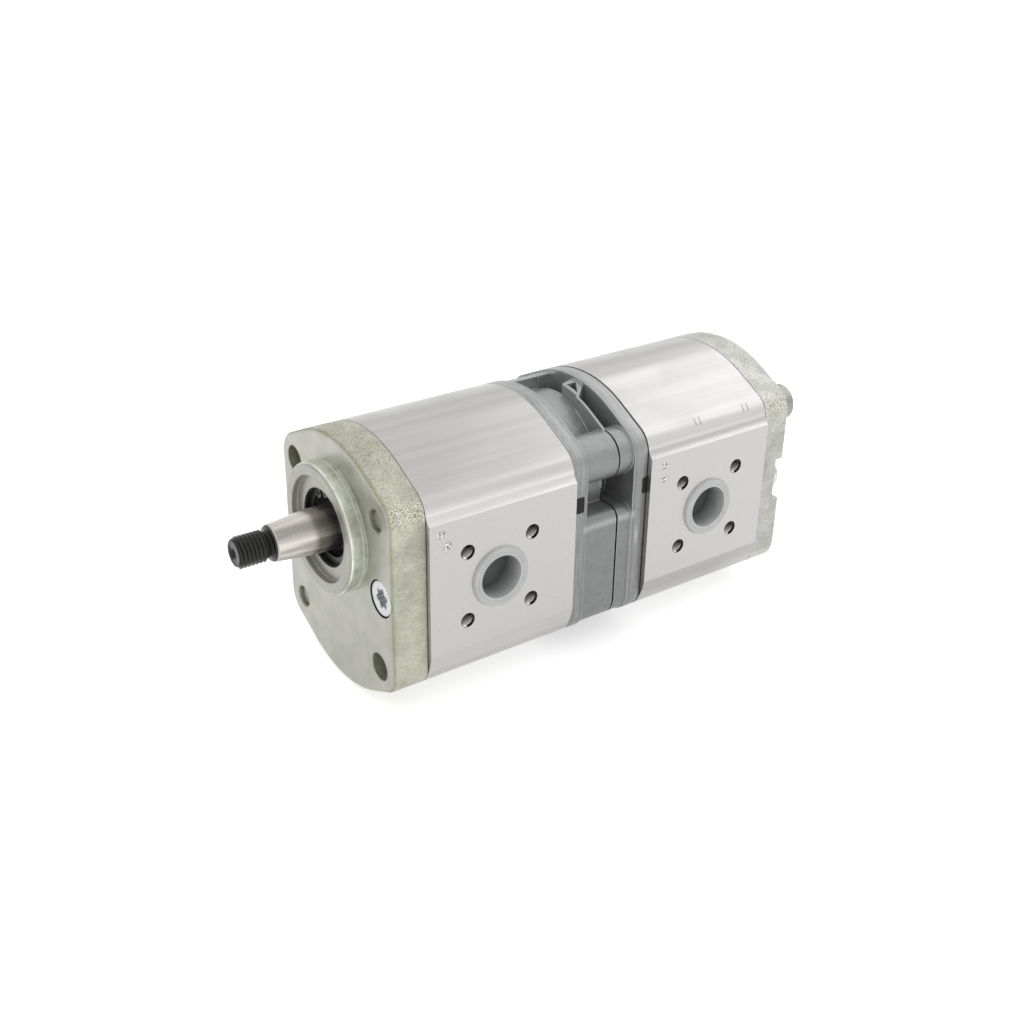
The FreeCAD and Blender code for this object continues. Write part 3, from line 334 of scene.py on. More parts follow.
def extruded_aluminium(name, punched=False):
    """Extruded aluminium: satin, with fine die lines along its length; the milled pads are flatter
    and a little warmer, with small bright and dark specks from handling."""
    material, tree, shader, place, rounded = start(name, 0.25)
    axes = add(tree, "ShaderNodeSeparateXYZ", {0: place}).outputs
    across = apart(tree, axes["X"], 0)
    pad = add(tree, "ShaderNodeMapRange", {0: across, 1: PAD_X - 0.12 * MM,
                                           2: PAD_X - 0.02 * MM}).outputs[0]
    # die lines are finer than this in truth; 0.5 mm is what the picture can show
    along = add(tree, "ShaderNodeMapping", {"Vector": place, "Scale": (1.0, 0.012, 1.0)}).outputs[0]
    line = add(tree, "ShaderNodeTexNoise", {"Vector": along, "Scale": per_mm(0.5), "Detail": 4.0,
                                            "Roughness": 0.7}).outputs["Fac"]
    broad = add(tree, "ShaderNodeTexNoise", {"Vector": along, "Scale": per_mm(4),
                                             "Detail": 2.0}).outputs["Fac"]
    speck = add(tree, "ShaderNodeTexNoise", {"Vector": place, "Scale": per_mm(0.9),
                                             "Detail": 2.0}).outputs["Fac"]
    stain = add(tree, "ShaderNodeTexNoise", {"Vector": place, "Scale": per_mm(17),
                                             "Detail": 2.0}).outputs["Fac"]
    ground = add(tree, "ShaderNodeValToRGB", {0: line}, stops=((0.32, "B9B8B7"), (0.68, "BFBEBD"))).outputs[0]
    banded = add(tree, "ShaderNodeMapRange", {0: broad, 1: 0.35, 2: 0.65, 3: 0.93, 4: 1.03}).outputs[0]
    # painted light: the shoulder above each pad is brighter and the one below darker; the step out to a pad
    # has a painted highlight on the front body, and is darker on the rear one
    level = add(tree, "ShaderNodeMath", {0: axes["Z"], 1: CORE_Z}, operation="SUBTRACT").outputs[0]
    up = add(tree, "ShaderNodeMapRange", {0: level, 1: -1 * MM, 2: 1 * MM, 3: 0.91, 4: 1.22}).outputs[0]
    level = add(tree, "ShaderNodeMath", {0: level}, operation="ABSOLUTE").outputs[0]
    shoulder = add(tree, "ShaderNodeMapRange", {0: apart(tree, level, SHOULDER_Z), 1: 4 * MM, 2: 7 * MM,
                                                3: 1.0, 4: 0.0}).outputs[0]
    up = add(tree, "ShaderNodeMix", {0: shoulder, 2: 1.0, 3: up}).outputs[0]
    step = add(tree, "ShaderNodeMapRange", {0: across, 1: FLANK_X - 1 * MM,
                                            2: FLANK_X + 0.3 * MM}).outputs[0]
    painted_step_light = add(tree, "ShaderNodeMapRange", {0: axes["Y"], 1: SEAM_Y - 1 * MM, 2: SEAM_Y + 1 * MM,
                                                  3: 1.14, 4: 0.9}).outputs[0]
    step = add(tree, "ShaderNodeMix", {0: step, 2: 1.0, 3: painted_step_light}).outputs[0]
    up = add(tree, "ShaderNodeMath", {0: up, 1: step}, operation="MULTIPLY").outputs[0]
    banded = add(tree, "ShaderNodeMath", {0: banded, 1: up}, operation="MULTIPLY").outputs[0]
    barrel = add(tree, "ShaderNodeMix", {0: 1.0, 6: ground, 7: banded}, data_type="RGBA",
                 blend_type="MULTIPLY").outputs[2]
    flat = add(tree, "ShaderNodeValToRGB", {0: speck}, stops=((0.25, "A5A29E"), (0.31, "BCBAB8"),
                                                              (0.7, "BEBCBA"), (0.76, "D6D5D3"))).outputs[0]
    colour = add(tree, "ShaderNodeMix", {0: pad, 6: barrel, 7: flat}, data_type="RGBA").outputs[2]
    # knocks left small patches of dark nicks near each pad's front corner, with painted glints among them
    nearest = 1.0
    for knock in KNOCKS:
        here = add(tree, "ShaderNodeVectorMath", {0: place, 1: knock}, operation="DISTANCE").outputs["Value"]
        nearest = add(tree, "ShaderNodeMath", {0: here, 1: nearest}, operation="MINIMUM").outputs[0]
    patch = add(tree, "ShaderNodeMapRange", {0: nearest, 1: 0.8 * MM, 2: 2.4 * MM, 3: 1.0, 4: 0.0}).outputs[0]
    nick = add(tree, "ShaderNodeTexNoise", {"Vector": place, "Scale": per_mm(0.8),
                                            "Detail": 1.0}).outputs["Fac"]
    for low, high, code in ((0.5, 0.57, "6F6D6A"), (0.45, 0.38, "E9E7E4")):
        spot = add(tree, "ShaderNodeMapRange", {0: nick, 1: low, 2: high}).outputs[0]
        spot = add(tree, "ShaderNodeMath", {0: spot, 1: patch}, operation="MULTIPLY").outputs[0]
        colour = add(tree, "ShaderNodeMix", {0: spot, 6: colour, 7: srgb(code)}, data_type="RGBA").outputs[2]
    # painted shade darkens the metal inside the ports and screw holes
    between = add(tree, "ShaderNodeMath", {0: level, 1: HOLE_SHADE_HALF_Z}, operation="LESS_THAN").outputs[0]
    deep = add(tree, "ShaderNodeMapRange", {0: across, 1: PAD_X - 0.9 * MM, 2: PAD_X - 0.6 * MM,
                                            3: 1.0, 4: 0.0}).outputs[0]
    painted_hole_shade = add(tree, "ShaderNodeMath", {0: between, 1: deep}, operation="MULTIPLY").outputs[0]
    from_port = apart(tree, apart(tree, axes["Y"], PORTS_MIDDLE_Y), PORTS_HALF_Y)
    by_port = add(tree, "ShaderNodeMath", {0: from_port, 1: HOLE_SHADE_HALF_Y}, operation="LESS_THAN").outputs[0]
    painted_hole_shade = add(tree, "ShaderNodeMath", {0: painted_hole_shade, 1: by_port}, operation="MULTIPLY").outputs[0]
    colour = add(tree, "ShaderNodeMix", {0: painted_hole_shade, 6: colour, 7: srgb("3C3A38")}, data_type="RGBA").outputs[2]
    worn = add(tree, "ShaderNodeMapRange", {0: stain, 1: 0.4, 2: 0.65, 3: 0.3, 4: 0.38}).outputs[0]
    rough = add(tree, "ShaderNodeMix", {0: pad, 2: worn, 3: 0.4}).outputs[0]
    height = add(tree, "ShaderNodeMix", {0: pad, 2: line, 3: speck}).outputs[0]
    bump = add(tree, "ShaderNodeBump", {"Height": height, "Normal": rounded, "Strength": 0.18,
                                        "Distance": 0.05 * MM}).outputs[0]
    if punched:
        colour, bump = punched_strokes(tree, axes, colour, bump)
    feed(tree, shader, {"Metallic": 0.95, "Base Color": colour, "Roughness": rough, "Normal": bump})
    return material


def punched_strokes(tree, axes, colour, normal):
    """Two pairs of short strokes struck across a rounded shoulder."""
    along = axes["Y"]
    for middle in (STROKES_Y, STROKES_SPREAD / 2, STROKES_GAP / 2):
        along = apart(tree, along, middle)
    stroke = add(tree, "ShaderNodeMapRange", {0: along, 1: 0.1 * MM, 2: 0.38 * MM, 3: 1.0, 4: 0.0}).outputs[0]
    reach = add(tree, "ShaderNodeMapRange", {0: apart(tree, axes["Z"], STROKES_Z), 1: STROKES_HALF - 0.2 * MM,
                                             2: STROKES_HALF + 0.2 * MM, 3: 1.0, 4: 0.0}).outputs[0]
    near = add(tree, "ShaderNodeMath", {0: axes["X"], 1: 0.0}, operation="GREATER_THAN").outputs[0]
    both = add(tree, "ShaderNodeMath", {0: stroke, 1: reach}, operation="MULTIPLY").outputs[0]
    mask = add(tree, "ShaderNodeMath", {0: both, 1: near}, operation="MULTIPLY").outputs[0]
    dark = add(tree, "ShaderNodeMix", {0: mask, 6: colour, 7: srgb("A6A5A4")}, data_type="RGBA").outputs[2]
    dent = add(tree, "ShaderNodeBump", {"Height": mask, "Normal": normal, "Distance": 0.08 * MM}, invert=True)
    return dark, dent.outputs[0]


def die_cast_aluminium(name):
    """Die-cast aluminium: dull mid grey with cold-flow mottling, and lighter where edges are rubbed, with
    painted highlights on them.
    """
    material, tree, shader, place, rounded = start(name, 0.7, 6)
    axes = add(tree, "ShaderNodeSeparateXYZ", {0: place}).outputs
    mottle = add(tree, "ShaderNodeTexNoise", {"Vector": place, "Scale": per_mm(3.2), "Detail": 5.0,
                                              "Roughness": 0.6, "Distortion": 0.8}).outputs["Fac"]
    grain = add(tree, "ShaderNodeTexNoise", {"Vector": place, "Scale": per_mm(0.9),
                                             "Detail": 3.0}).outputs["Fac"]
    ground = add(tree, "ShaderNodeValToRGB", {0: mottle}, stops=((0.3, "888989"), (0.7, "989999"))).outputs[0]
    # painted light makes the upper part lighter and the lower part darker; the plates' rims were trimmed and
    # show fine lines
    painted_height_light = add(tree, "ShaderNodeMapRange", {0: axes["Z"], 1: 8 * MM, 2: 26 * MM,
                                             3: 0.85, 4: 1.18}).outputs[0]
    plate = add(tree, "ShaderNodeMath", {0: apart(tree, axes["Y"], CASTING_MIDDLE_Y), 1: CASTING_CORE_HALF_Y},
                operation="GREATER_THAN").outputs[0]
    round_axis = add(tree, "ShaderNodeMapping", {"Vector": place, "Scale": (0.04, 1.0, 0.04)}).outputs[0]
    trim = add(tree, "ShaderNodeTexNoise", {"Vector": round_axis, "Scale": per_mm(0.8),
                                            "Detail": 3.0}).outputs["Fac"]
    trim = add(tree, "ShaderNodeMapRange", {0: trim, 1: 0.35, 2: 0.65, 3: 1.0, 4: 1.34}).outputs[0]
    trim = add(tree, "ShaderNodeMix", {0: plate, 2: 1.0, 3: trim}).outputs[0]
    shade = add(tree, "ShaderNodeMath", {0: painted_height_light, 1: trim}, operation="MULTIPLY").outputs[0]
    lit = add(tree, "ShaderNodeMix", {0: 1.0, 6: ground, 7: shade}, data_type="RGBA",
              blend_type="MULTIPLY").outputs[2]
    # the ledge's rounded edge gets a painted highlight, and something scuffed the rear plate's rim
    highlight_and_scuff = add(tree, "ShaderNodeMapRange", {0: apart(tree, axes["Z"], LEDGE_HIGHLIGHT_Z), 1: 0.2 * MM, 2: 2.2 * MM,
                                           3: 0.38, 4: 0.0}).outputs[0]
    core = add(tree, "ShaderNodeMath", {0: 1.0, 1: plate}, operation="SUBTRACT").outputs[0]
    highlight_and_scuff = add(tree, "ShaderNodeMath", {0: highlight_and_scuff, 1: core}, operation="MULTIPLY").outputs[0]
    scuff = add(tree, "ShaderNodeVectorMath", {0: place, 1: SCUFF_PLACE}, operation="SUBTRACT").outputs[0]
    scuff = add(tree, "ShaderNodeVectorMath", {0: scuff, 1: SCUFF_HALF}, operation="DIVIDE").outputs[0]
    scuff = add(tree, "ShaderNodeVectorMath", {0: scuff}, operation="LENGTH").outputs["Value"]
    scuff = add(tree, "ShaderNodeMapRange", {0: scuff, 1: 0.2, 2: 1.1, 3: 0.5, 4: 0.0}).outputs[0]
    highlight_and_scuff = add(tree, "ShaderNodeMath", {0: highlight_and_scuff, 1: scuff}, operation="MAXIMUM").outputs[0]
    lit = add(tree, "ShaderNodeMix", {0: highlight_and_scuff, 6: lit, 7: srgb("D4D5D5")}, data_type="RGBA").outputs[2]
    # every other edge is rubbed a little too, with a painted highlight along it
    true_normal = add(tree, "ShaderNodeNewGeometry").outputs["Normal"]
    bend = add(tree, "ShaderNodeVectorMath", {0: rounded, 1: true_normal},
               operation="DOT_PRODUCT").outputs["Value"]
    edge = add(tree, "ShaderNodeMapRange", {0: bend, 1: 0.985, 2: 0.86, 3: 0.0, 4: 0.85}).outputs[0]
    colour = add(tree, "ShaderNodeMix", {0: edge, 6: lit, 7: srgb("D4D5D5")}, data_type="RGBA").outputs[2]
    # the joint's groove holds dark oil and painted shade
    oil = add(tree, "ShaderNodeMath", {0: apart(tree, axes["Y"], SEAM_Y), 1: 0.42 * MM},
              operation="LESS_THAN").outputs[0]
    low = add(tree, "ShaderNodeMath", {0: axes["Z"], 1: BOSS_TOP_Z}, operation="LESS_THAN").outputs[0]
    oil = add(tree, "ShaderNodeMath", {0: oil, 1: low}, operation="MULTIPLY").outputs[0]
    colour = add(tree, "ShaderNodeMix", {0: oil, 6: colour, 7: srgb("2C2B2A")}, data_type="RGBA").outputs[2]
    rough = add(tree, "ShaderNodeMapRange", {0: mottle, 1: 0.3, 2: 0.7, 3: 0.33, 4: 0.46}).outputs[0]
    bump = add(tree, "ShaderNodeBump", {"Height": grain, "Normal": rounded, "Strength": 0.35,
                                        "Distance": 0.15 * MM}).outputs[0]
    feed(tree, shader, {"Metallic": 0.45, "Base Color": colour, "Roughness": rough, "Normal": bump})
    return material


def ground_steel(name, dark, light, ring_mm, rough_low, rough_high):
    """Steel that was ground or turned about the pump's axis: fine rings, grey with a warm cast,
    and painted reflections as soft light and dark streaks along it."""
    material, tree, shader, place, rounded = start(name, 0.2)
    round_axis = add(tree, "ShaderNodeMapping", {"Vector": place, "Scale": (0.03, 1.0, 0.03)}).outputs[0]
    # the light and dark streaks along the axis are painted reflections
    lengthwise = add(tree, "ShaderNodeMapping", {"Vector": place, "Scale": (1.0, 0.02, 1.0)}).outputs[0]
    streak = add(tree, "ShaderNodeTexNoise", {"Vector": lengthwise, "Scale": per_mm(3.6), "Detail": 2.0,
                                              "Roughness": 0.4}).outputs["Fac"]
    streak = add(tree, "ShaderNodeMapRange", {0: streak, 1: 0.38, 2: 0.62, 3: 0.6, 4: 1.22}).outputs[0]
    ring = add(tree, "ShaderNodeTexNoise", {"Vector": round_axis, "Scale": per_mm(ring_mm), "Detail": 4.0,
                                            "Roughness": 0.7}).outputs["Fac"]
    ground = add(tree, "ShaderNodeValToRGB", {0: ring}, stops=((0.3, dark), (0.7, light))).outputs[0]
    colour = add(tree, "ShaderNodeMix", {0: 1.0, 6: ground, 7: streak}, data_type="RGBA",
                 blend_type="MULTIPLY").outputs[2]
    rough = add(tree, "ShaderNodeMapRange", {0: ring, 1: 0.3, 2: 0.7, 3: rough_low, 4: rough_high}).outputs[0]
    bump = add(tree, "ShaderNodeBump", {"Height": ring, "Normal": rounded, "Strength": 0.1,
                                        "Distance": 0.03 * MM}).outputs[0]
    feed(tree, shader, {"Metallic": 1.0, "Base Color": colour, "Roughness": rough, "Normal": bump})
    return material


def coated(name, dark, light, grain_mm, metallic, rough_low, rough_high, specular=0.5):
    """A plain finish that still varies a little: zinc, rubber, bronze or a machined face."""
    material, tree, shader, place, rounded = start(name, 0.15)
    grain = add(tree, "ShaderNodeTexNoise", {"Vector": place, "Scale": per_mm(grain_mm), "Detail": 4.0,
                                             "Roughness": 0.6}).outputs["Fac"]
    ground = add(tree, "ShaderNodeValToRGB", {0: grain}, stops=((0.3, dark), (0.7, light))).outputs[0]
    rough = add(tree, "ShaderNodeMapRange", {0: grain, 1: 0.3, 2: 0.7,
                                             3: rough_low, 4: rough_high}).outputs[0]
    bump = add(tree, "ShaderNodeBump", {"Height": grain, "Normal": rounded, "Strength": 0.3,
                                        "Distance": 0.04 * MM}).outputs[0]
    feed(tree, shader, {"Metallic": metallic, "Specular IOR Level": specular, "Base Color": ground,
                        "Roughness": rough, "Normal": bump})
    return material


def blackened_steel(name):
    """Steel blackened with phosphate and oil: near black, with painted shade in its thread's roots that
    leaves the crests lighter.
    """
    material, tree, shader, place, rounded = start(name, 0.12)
    grain = add(tree, "ShaderNodeTexNoise", {"Vector": place, "Scale": per_mm(0.8), "Detail": 4.0,
                                             "Roughness": 0.6}).outputs["Fac"]
    ground = add(tree, "ShaderNodeValToRGB", {0: grain}, stops=((0.3, "2E2E2D"), (0.7, "424240"))).outputs[0]
    # painted shade darkens the thread's roots
    crest = add(tree, "ShaderNodeMapRange", {0: off_shaft_axis(tree, place), 1: STUB_ROOT_R * MM,
                                             2: STUB_CREST_R * MM, 3: 0.35, 4: 1.0}).outputs[0]
    colour = add(tree, "ShaderNodeMix", {0: 1.0, 6: ground, 7: crest}, data_type="RGBA",
                 blend_type="MULTIPLY").outputs[2]
    # the taper's grinding ran a little way over the collar
    along = add(tree, "ShaderNodeSeparateXYZ", {0: place}).outputs["Y"]
    bright = add(tree, "ShaderNodeMapRange", {0: along, 1: COLLAR_BRIGHT_Y - 0.1 * MM,
                                              2: COLLAR_BRIGHT_Y}).outputs[0]
    on_collar = add(tree, "ShaderNodeMath", {0: along, 1: COLLAR_END_Y}, operation="LESS_THAN").outputs[0]
    bright = add(tree, "ShaderNodeMath", {0: bright, 1: on_collar}, operation="MULTIPLY").outputs[0]
    colour = add(tree, "ShaderNodeMix", {0: bright, 6: colour, 7: srgb("BDB8B2")},
                 data_type="RGBA").outputs[2]
    rough = add(tree, "ShaderNodeMapRange", {0: grain, 1: 0.3, 2: 0.7, 3: 0.26, 4: 0.38}).outputs[0]
    bump = add(tree, "ShaderNodeBump", {"Height": grain, "Normal": rounded, "Strength": 0.3,
                                        "Distance": 0.04 * MM}).outputs[0]
    feed(tree, shader, {"Metallic": 0.7, "Base Color": colour, "Roughness": rough, "Normal": bump})
    return material


def cut_thread(name):
    """The thread cut in a screw hole, with painted light: bright at its mouth and on its lower wall,
    and painted shade deeper in."""
    material, tree, shader, place, rounded = start(name, 0.1)
    axes = add(tree, "ShaderNodeSeparateXYZ", {0: place}).outputs
    depth = add(tree, "ShaderNodeMapRange", {0: apart(tree, axes["X"], 0), 1: PAD_X - 4.5 * MM,
                                             2: PAD_X - 1 * MM, 3: 0.2, 4: 1.0}).outputs[0]
    # height above the hole's own axis; the squares of holes are smaller on the pressure side
    suction = add(tree, "ShaderNodeMath", {0: axes["X"], 1: 0.0}, operation="GREATER_THAN").outputs[0]
    half_square = add(tree, "ShaderNodeMapRange", {0: suction, 3: PRESSURE_HALF_SQUARE * MM,
                                                   4: SUCTION_HALF_SQUARE * MM}).outputs[0]
    level = add(tree, "ShaderNodeMath", {0: axes["Z"], 1: CORE_Z}, operation="SUBTRACT").outputs[0]
    above = add(tree, "ShaderNodeMath", {0: level}, operation="ABSOLUTE").outputs[0]
    above = add(tree, "ShaderNodeMath", {0: above, 1: half_square}, operation="SUBTRACT").outputs[0]
    upward = add(tree, "ShaderNodeMath", {0: level}, operation="SIGN").outputs[0]
    above = add(tree, "ShaderNodeMath", {0: above, 1: upward}, operation="MULTIPLY").outputs[0]
    # painted light on the lower wall, and painted shade on the upper wall and deeper in
    lower = add(tree, "ShaderNodeMapRange", {0: above, 1: -2.4 * MM, 2: -0.4 * MM, 3: 2.0, 4: 0.2}).outputs[0]
    shade = add(tree, "ShaderNodeMath", {0: depth, 1: lower}, operation="MULTIPLY").outputs[0]
    colour = add(tree, "ShaderNodeMix", {0: 1.0, 6: srgb("8F8D89"), 7: shade}, data_type="RGBA",
                 blend_type="MULTIPLY").outputs[2]
    feed(tree, shader, {"Metallic": 0.95, "Roughness": 0.25, "Base Color": colour, "Normal": rounded})
    return material


def shipping_plastic(name):
    """Low-density polyethylene: soft, waxy and slightly see-through, with a cool grey cast."""
    material, tree, shader, place, rounded = start(name, 0.4)
    axes = add(tree, "ShaderNodeSeparateXYZ", {0: place}).outputs
    haze = add(tree, "ShaderNodeTexNoise", {"Vector": place, "Scale": per_mm(6),
                                            "Detail": 2.0}).outputs["Fac"]
    ground = add(tree, "ShaderNodeValToRGB", {0: haze}, stops=((0.3, "DADDDC"), (0.7, "E6E9E8"))).outputs[0]
    # the dark bore shows through the cup's wall and floor, and painted shade darkens the cup deeper in
    shade = add(tree, "ShaderNodeMapRange", {0: apart(tree, axes["X"], 0), 1: PAD_X - 9.5 * MM, 2: PAD_X,
                                             3: 0.3, 4: 1.0}).outputs[0]
    # the mould left a pale lip and a fine groove round the mouth
    from_port = apart(tree, apart(tree, axes["Y"], PORTS_MIDDLE_Y), PORTS_HALF_Y)
    from_core = apart(tree, axes["Z"], CORE_Z)
    radius = add(tree, "ShaderNodeCombineXYZ", {1: from_port, 2: from_core}).outputs[0]
    radius = add(tree, "ShaderNodeVectorMath", {0: radius}, operation="LENGTH").outputs["Value"]
    for ring_r, half, ring_shade in PLUG_RINGS:
        ring = add(tree, "ShaderNodeMapRange", {0: apart(tree, radius, ring_r), 1: 0.05 * MM, 2: half,
                                                3: ring_shade, 4: 1.0}).outputs[0]
        shade = add(tree, "ShaderNodeMath", {0: shade, 1: ring}, operation="MULTIPLY").outputs[0]
    colour = add(tree, "ShaderNodeMix", {0: 1.0, 6: ground, 7: shade}, data_type="RGBA",
                 blend_type="MULTIPLY").outputs[2]
    rough = add(tree, "ShaderNodeMapRange", {0: haze, 1: 0.3, 2: 0.7, 3: 0.3, 4: 0.42}).outputs[0]
    feed(tree, shader, {"IOR": 1.51, "Transmission Weight": 0.25, "Base Color": colour,
                        "Roughness": rough, "Normal": rounded})
    return material


def finish_mesh(name, mesh, body, *materials):
    """Turns a bmesh in millimetres into a piece on a body, with smooth turns and sharp corners."""
    bmesh.ops.scale(mesh, vec=(MM, MM, MM), verts=mesh.verts)
    data = bpy.data.meshes.new(name)
    mesh.to_mesh(data)
    mesh.free()
    for material in materials:
        data.materials.append(material)
    data.shade_smooth()
    data.set_sharp_from_angle(angle=SHARP_ANGLE)
    piece = bpy.data.objects.new(name, data)
    bpy.context.scene.collection.objects.link(piece)
    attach(piece, body)
    return piece


def copies(mesh, places):
    """One bmesh with a copy of another at each place; the other is freed."""
    data = bpy.data.meshes.new("one")
    mesh.to_mesh(data)
    mesh.free()
    whole = bmesh.new()
    for place in places:
        placed = data.copy()
        placed.transform(place)
        whole.from_mesh(placed)
        bpy.data.meshes.remove(placed)
    bpy.data.meshes.remove(data)
    return whole


def thread_skin(mesh, profile, pitch, turns, steps):
    """Spins a profile of (radius, height) points up a right-hand helix about Z."""
    points = [mesh.verts.new((r, 0, z)) for r, z in profile]
    edges = [mesh.edges.new(pair) for pair in zip(points, points[1:])]
    bmesh.ops.spin(mesh, geom=points + edges, cent=(0, 0, 0), axis=(0, 0, 1), dvec=(0, 0, pitch / steps),
                   angle=2 * math.pi * turns, steps=steps * turns)
    bmesh.ops.remove_doubles(mesh, verts=mesh.verts, dist=1e-4)


def extend(mesh, loop, radius, height):
    """Extrudes a loop about Z to a radius, which may depend on the angle, and a height."""
    made = bmesh.ops.extrude_edge_only(mesh, edges=loop)["geom"]
    ring = {v for v in made if isinstance(v, bmesh.types.BMVert)}
    for vert in ring:
        angle = math.atan2(vert.co.y, vert.co.x)
        r = radius(angle) if callable(radius) else radius
        vert.co = (r * math.cos(angle), r * math.sin(angle), height)
    return [e for e in mesh.edges if e.verts[0] in ring and e.verts[1] in ring]


def rim(mesh, height):
    """The open edges of a shape in the plane at a height."""
    return [e for e in mesh.edges if e.is_boundary and all(abs(v.co.z - height) < 1e-4 for v in e.verts)]


def cut_flat(mesh, height, keep_above):
    """Cuts everything off on one side of a height."""
    bmesh.ops.bisect_plane(mesh, geom=mesh.verts[:] + mesh.edges[:] + mesh.faces[:], dist=1e-5,
                           plane_co=(0, 0, height), plane_no=(0, 0, 1),
                           clear_inner=keep_above, clear_outer=not keep_above)


def threaded_stub():
    """The shaft's end with a real thread, its lead-in chamfer, run-out and centre hole."""
    mesh = bmesh.new()
    length = SHAFT_CUT_Y - STUB_FRONT_Y
    flat = STUB_PITCH / 8
    slope = (STUB_PITCH - 2 * flat) / 2
    profile = [(STUB_ROOT_R, 0), (STUB_CREST_R, slope), (STUB_CREST_R, slope + flat),
               (STUB_ROOT_R, 2 * slope + flat), (STUB_ROOT_R, STUB_PITCH)]
    turns = math.ceil(length / STUB_PITCH) + 2
    thread_skin(mesh, profile, STUB_PITCH, turns, 48)
    bmesh.ops.translate(mesh, vec=(0, 0, -STUB_PITCH), verts=mesh.verts)
    # heights run from the shaft's cut, at 0, out to its front end
    run_out = SHAFT_CUT_Y - STUB_REAR_Y
    for vert in mesh.verts:
        r = math.hypot(vert.co.x, vert.co.y)
        lead_in = UNDERCUT_R + (length - vert.co.z)
        most = min(lead_in, max(UNDERCUT_R, UNDERCUT_R + (vert.co.z - run_out) * RUN_OUT_SLOPE))
        if r > most:
            vert.co.x *= most / r
            vert.co.y *= most / r
    cut_flat(mesh, 0, True)
    cut_flat(mesh, length, False)
    bmesh.ops.holes_fill(mesh, edges=rim(mesh, 0))
    lip = extend(mesh, rim(mesh, length), CENTRE_HOLE_R, length)
    tip = extend(mesh, lip, CENTRE_HOLE_TIP_R, length - CENTRE_HOLE_DEPTH)
    bmesh.ops.holes_fill(mesh, edges=tip)
    bmesh.ops.recalc_face_normals(mesh, faces=mesh.faces)
    place = Matrix.Translation((0, SHAFT_CUT_Y, 0)) @ Matrix.Rotation(math.pi / 2, 4, "X")
    bmesh.ops.transform(mesh, matrix=place, verts=mesh.verts)
    return mesh


def drive_shaft(steel, phosphate):
    """The CAD shaft with its plain stub cut off and the threaded one in its place."""
    mesh = bmesh.new()
    mesh.from_mesh(NODES["front_drive_shaft"].data)
    bmesh.ops.remove_doubles(mesh, verts=mesh.verts, dist=1e-7)
    bmesh.ops.scale(mesh, vec=(1 / MM, 1 / MM, 1 / MM), verts=mesh.verts)
    bmesh.ops.bisect_plane(mesh, geom=mesh.verts[:] + mesh.edges[:] + mesh.faces[:], dist=1e-5,
                           plane_co=(0, SHAFT_CUT_Y, 0), plane_no=(0, 1, 0), clear_inner=True)
    bmesh.ops.holes_fill(mesh, edges=[e for e in mesh.edges if e.is_boundary])
    stub = threaded_stub()
    end = bpy.data.meshes.new("stub")
    stub.to_mesh(end)
    stub.free()
    mesh.from_mesh(end)
    bpy.data.meshes.remove(end)
    for face in mesh.faces:
        face.material_index = 1 if face.calc_center_median().y < BLACKENED_END_Y else 0
    piece = finish_mesh("drive_shaft_threaded", mesh, "drive_shaft", steel, phosphate)
    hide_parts("front_drive_shaft")


def port_threads(metal):
    """The thread in each of the sixteen screw holes round the ports."""
    crest = PORT_THREAD_PITCH / 2
    profile = [(PORT_THREAD_R, 0), (PORT_THREAD_INNER_R, crest), (PORT_THREAD_R, PORT_THREAD_PITCH),
               (PORT_THREAD_R, 0)]
    ridge = bmesh.new()
    thread_skin(ridge, profile, PORT_THREAD_PITCH, PORT_THREAD_TURNS, 24)
    bmesh.ops.holes_fill(ridge, edges=[e for e in ridge.edges if e.is_boundary])
    bmesh.ops.recalc_face_normals(ridge, faces=ridge.faces)
    bottom = PAD_X / MM - PORT_THREAD_START - (PORT_THREAD_TURNS + 1) * PORT_THREAD_PITCH
    places = []
    for kind, side, step in (("suction", 1, SUCTION_HALF_SQUARE), ("pressure", -1, PRESSURE_HALF_SQUARE)):
        for stage in ("front", "rear"):
            low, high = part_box(f"{stage}_{kind}_plug")
            centre = (low + high) / 2 / MM
            for dy in (-step, step):
                for dz in (-step, step):
                    place = Matrix.Translation((side * bottom, centre.y + dy, centre.z + dz))
                    places.append(place @ Matrix.Rotation(side * math.pi / 2, 4, "Y"))
    piece = finish_mesh("port_screw_threads", copies(ridge, places), "casing", metal)


def flush_screws(zinc):
    """The two screws that lie flush in the front cover, with their star recesses."""
    low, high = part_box("front_cover_screws")
    length = (high.y - low.y) / MM - SCREW_SINK
    screw = bmesh.new()
    bmesh.ops.create_circle(screw, segments=72, radius=SCREW_HEAD_R - SCREW_HEAD_EDGE)
    top = screw.edges[:]
    edge = extend(screw, top, SCREW_HEAD_R, -SCREW_HEAD_EDGE)
    edge = extend(screw, edge, SCREW_HEAD_R, -SCREW_HEAD_RIM)
    edge = extend(screw, edge, SCREW_SHANK_R, -SCREW_HEAD_RIM - SCREW_HEAD_R + SCREW_SHANK_R)
    edge = extend(screw, edge, SCREW_SHANK_R, -length + SCREW_POINT)
    edge = extend(screw, edge, SCREW_SHANK_R - SCREW_POINT, -length)
    bmesh.ops.holes_fill(screw, edges=edge)
    edge = top
    for wider, height in ((STAR_CHAMFER, 0), (0, -STAR_CHAMFER_DEPTH), (0, -STAR_DEPTH)):
        edge = extend(screw, edge, lambda angle: STAR_R + wider + STAR_WAVE * math.cos(6 * angle), height)
    bmesh.ops.holes_fill(screw, edges=edge)
    bmesh.ops.recalc_face_normals(screw, faces=screw.faces)
    middle = (low + high) / 2 / MM
    reach = (high.x - low.x) / 2 / MM - SCREW_HEAD_R
    turn = Matrix.Rotation(math.pi / 2, 4, "X") @ Matrix.Rotation(SCREW_TURN, 4, "Z")
    places = [Matrix.Translation((x, low.y / MM + SCREW_SINK, middle.z)) @ turn for x in (-reach, reach)]
    piece = finish_mesh("flush_screws", copies(screw, places), "casing", zinc)
    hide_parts("front_cover_screws")


def dress(name, material):
    """Gives a CAD node its material in place of the plain packed one."""
    data = NODES[name].data
    data.materials.clear()
    data.materials.append(material)


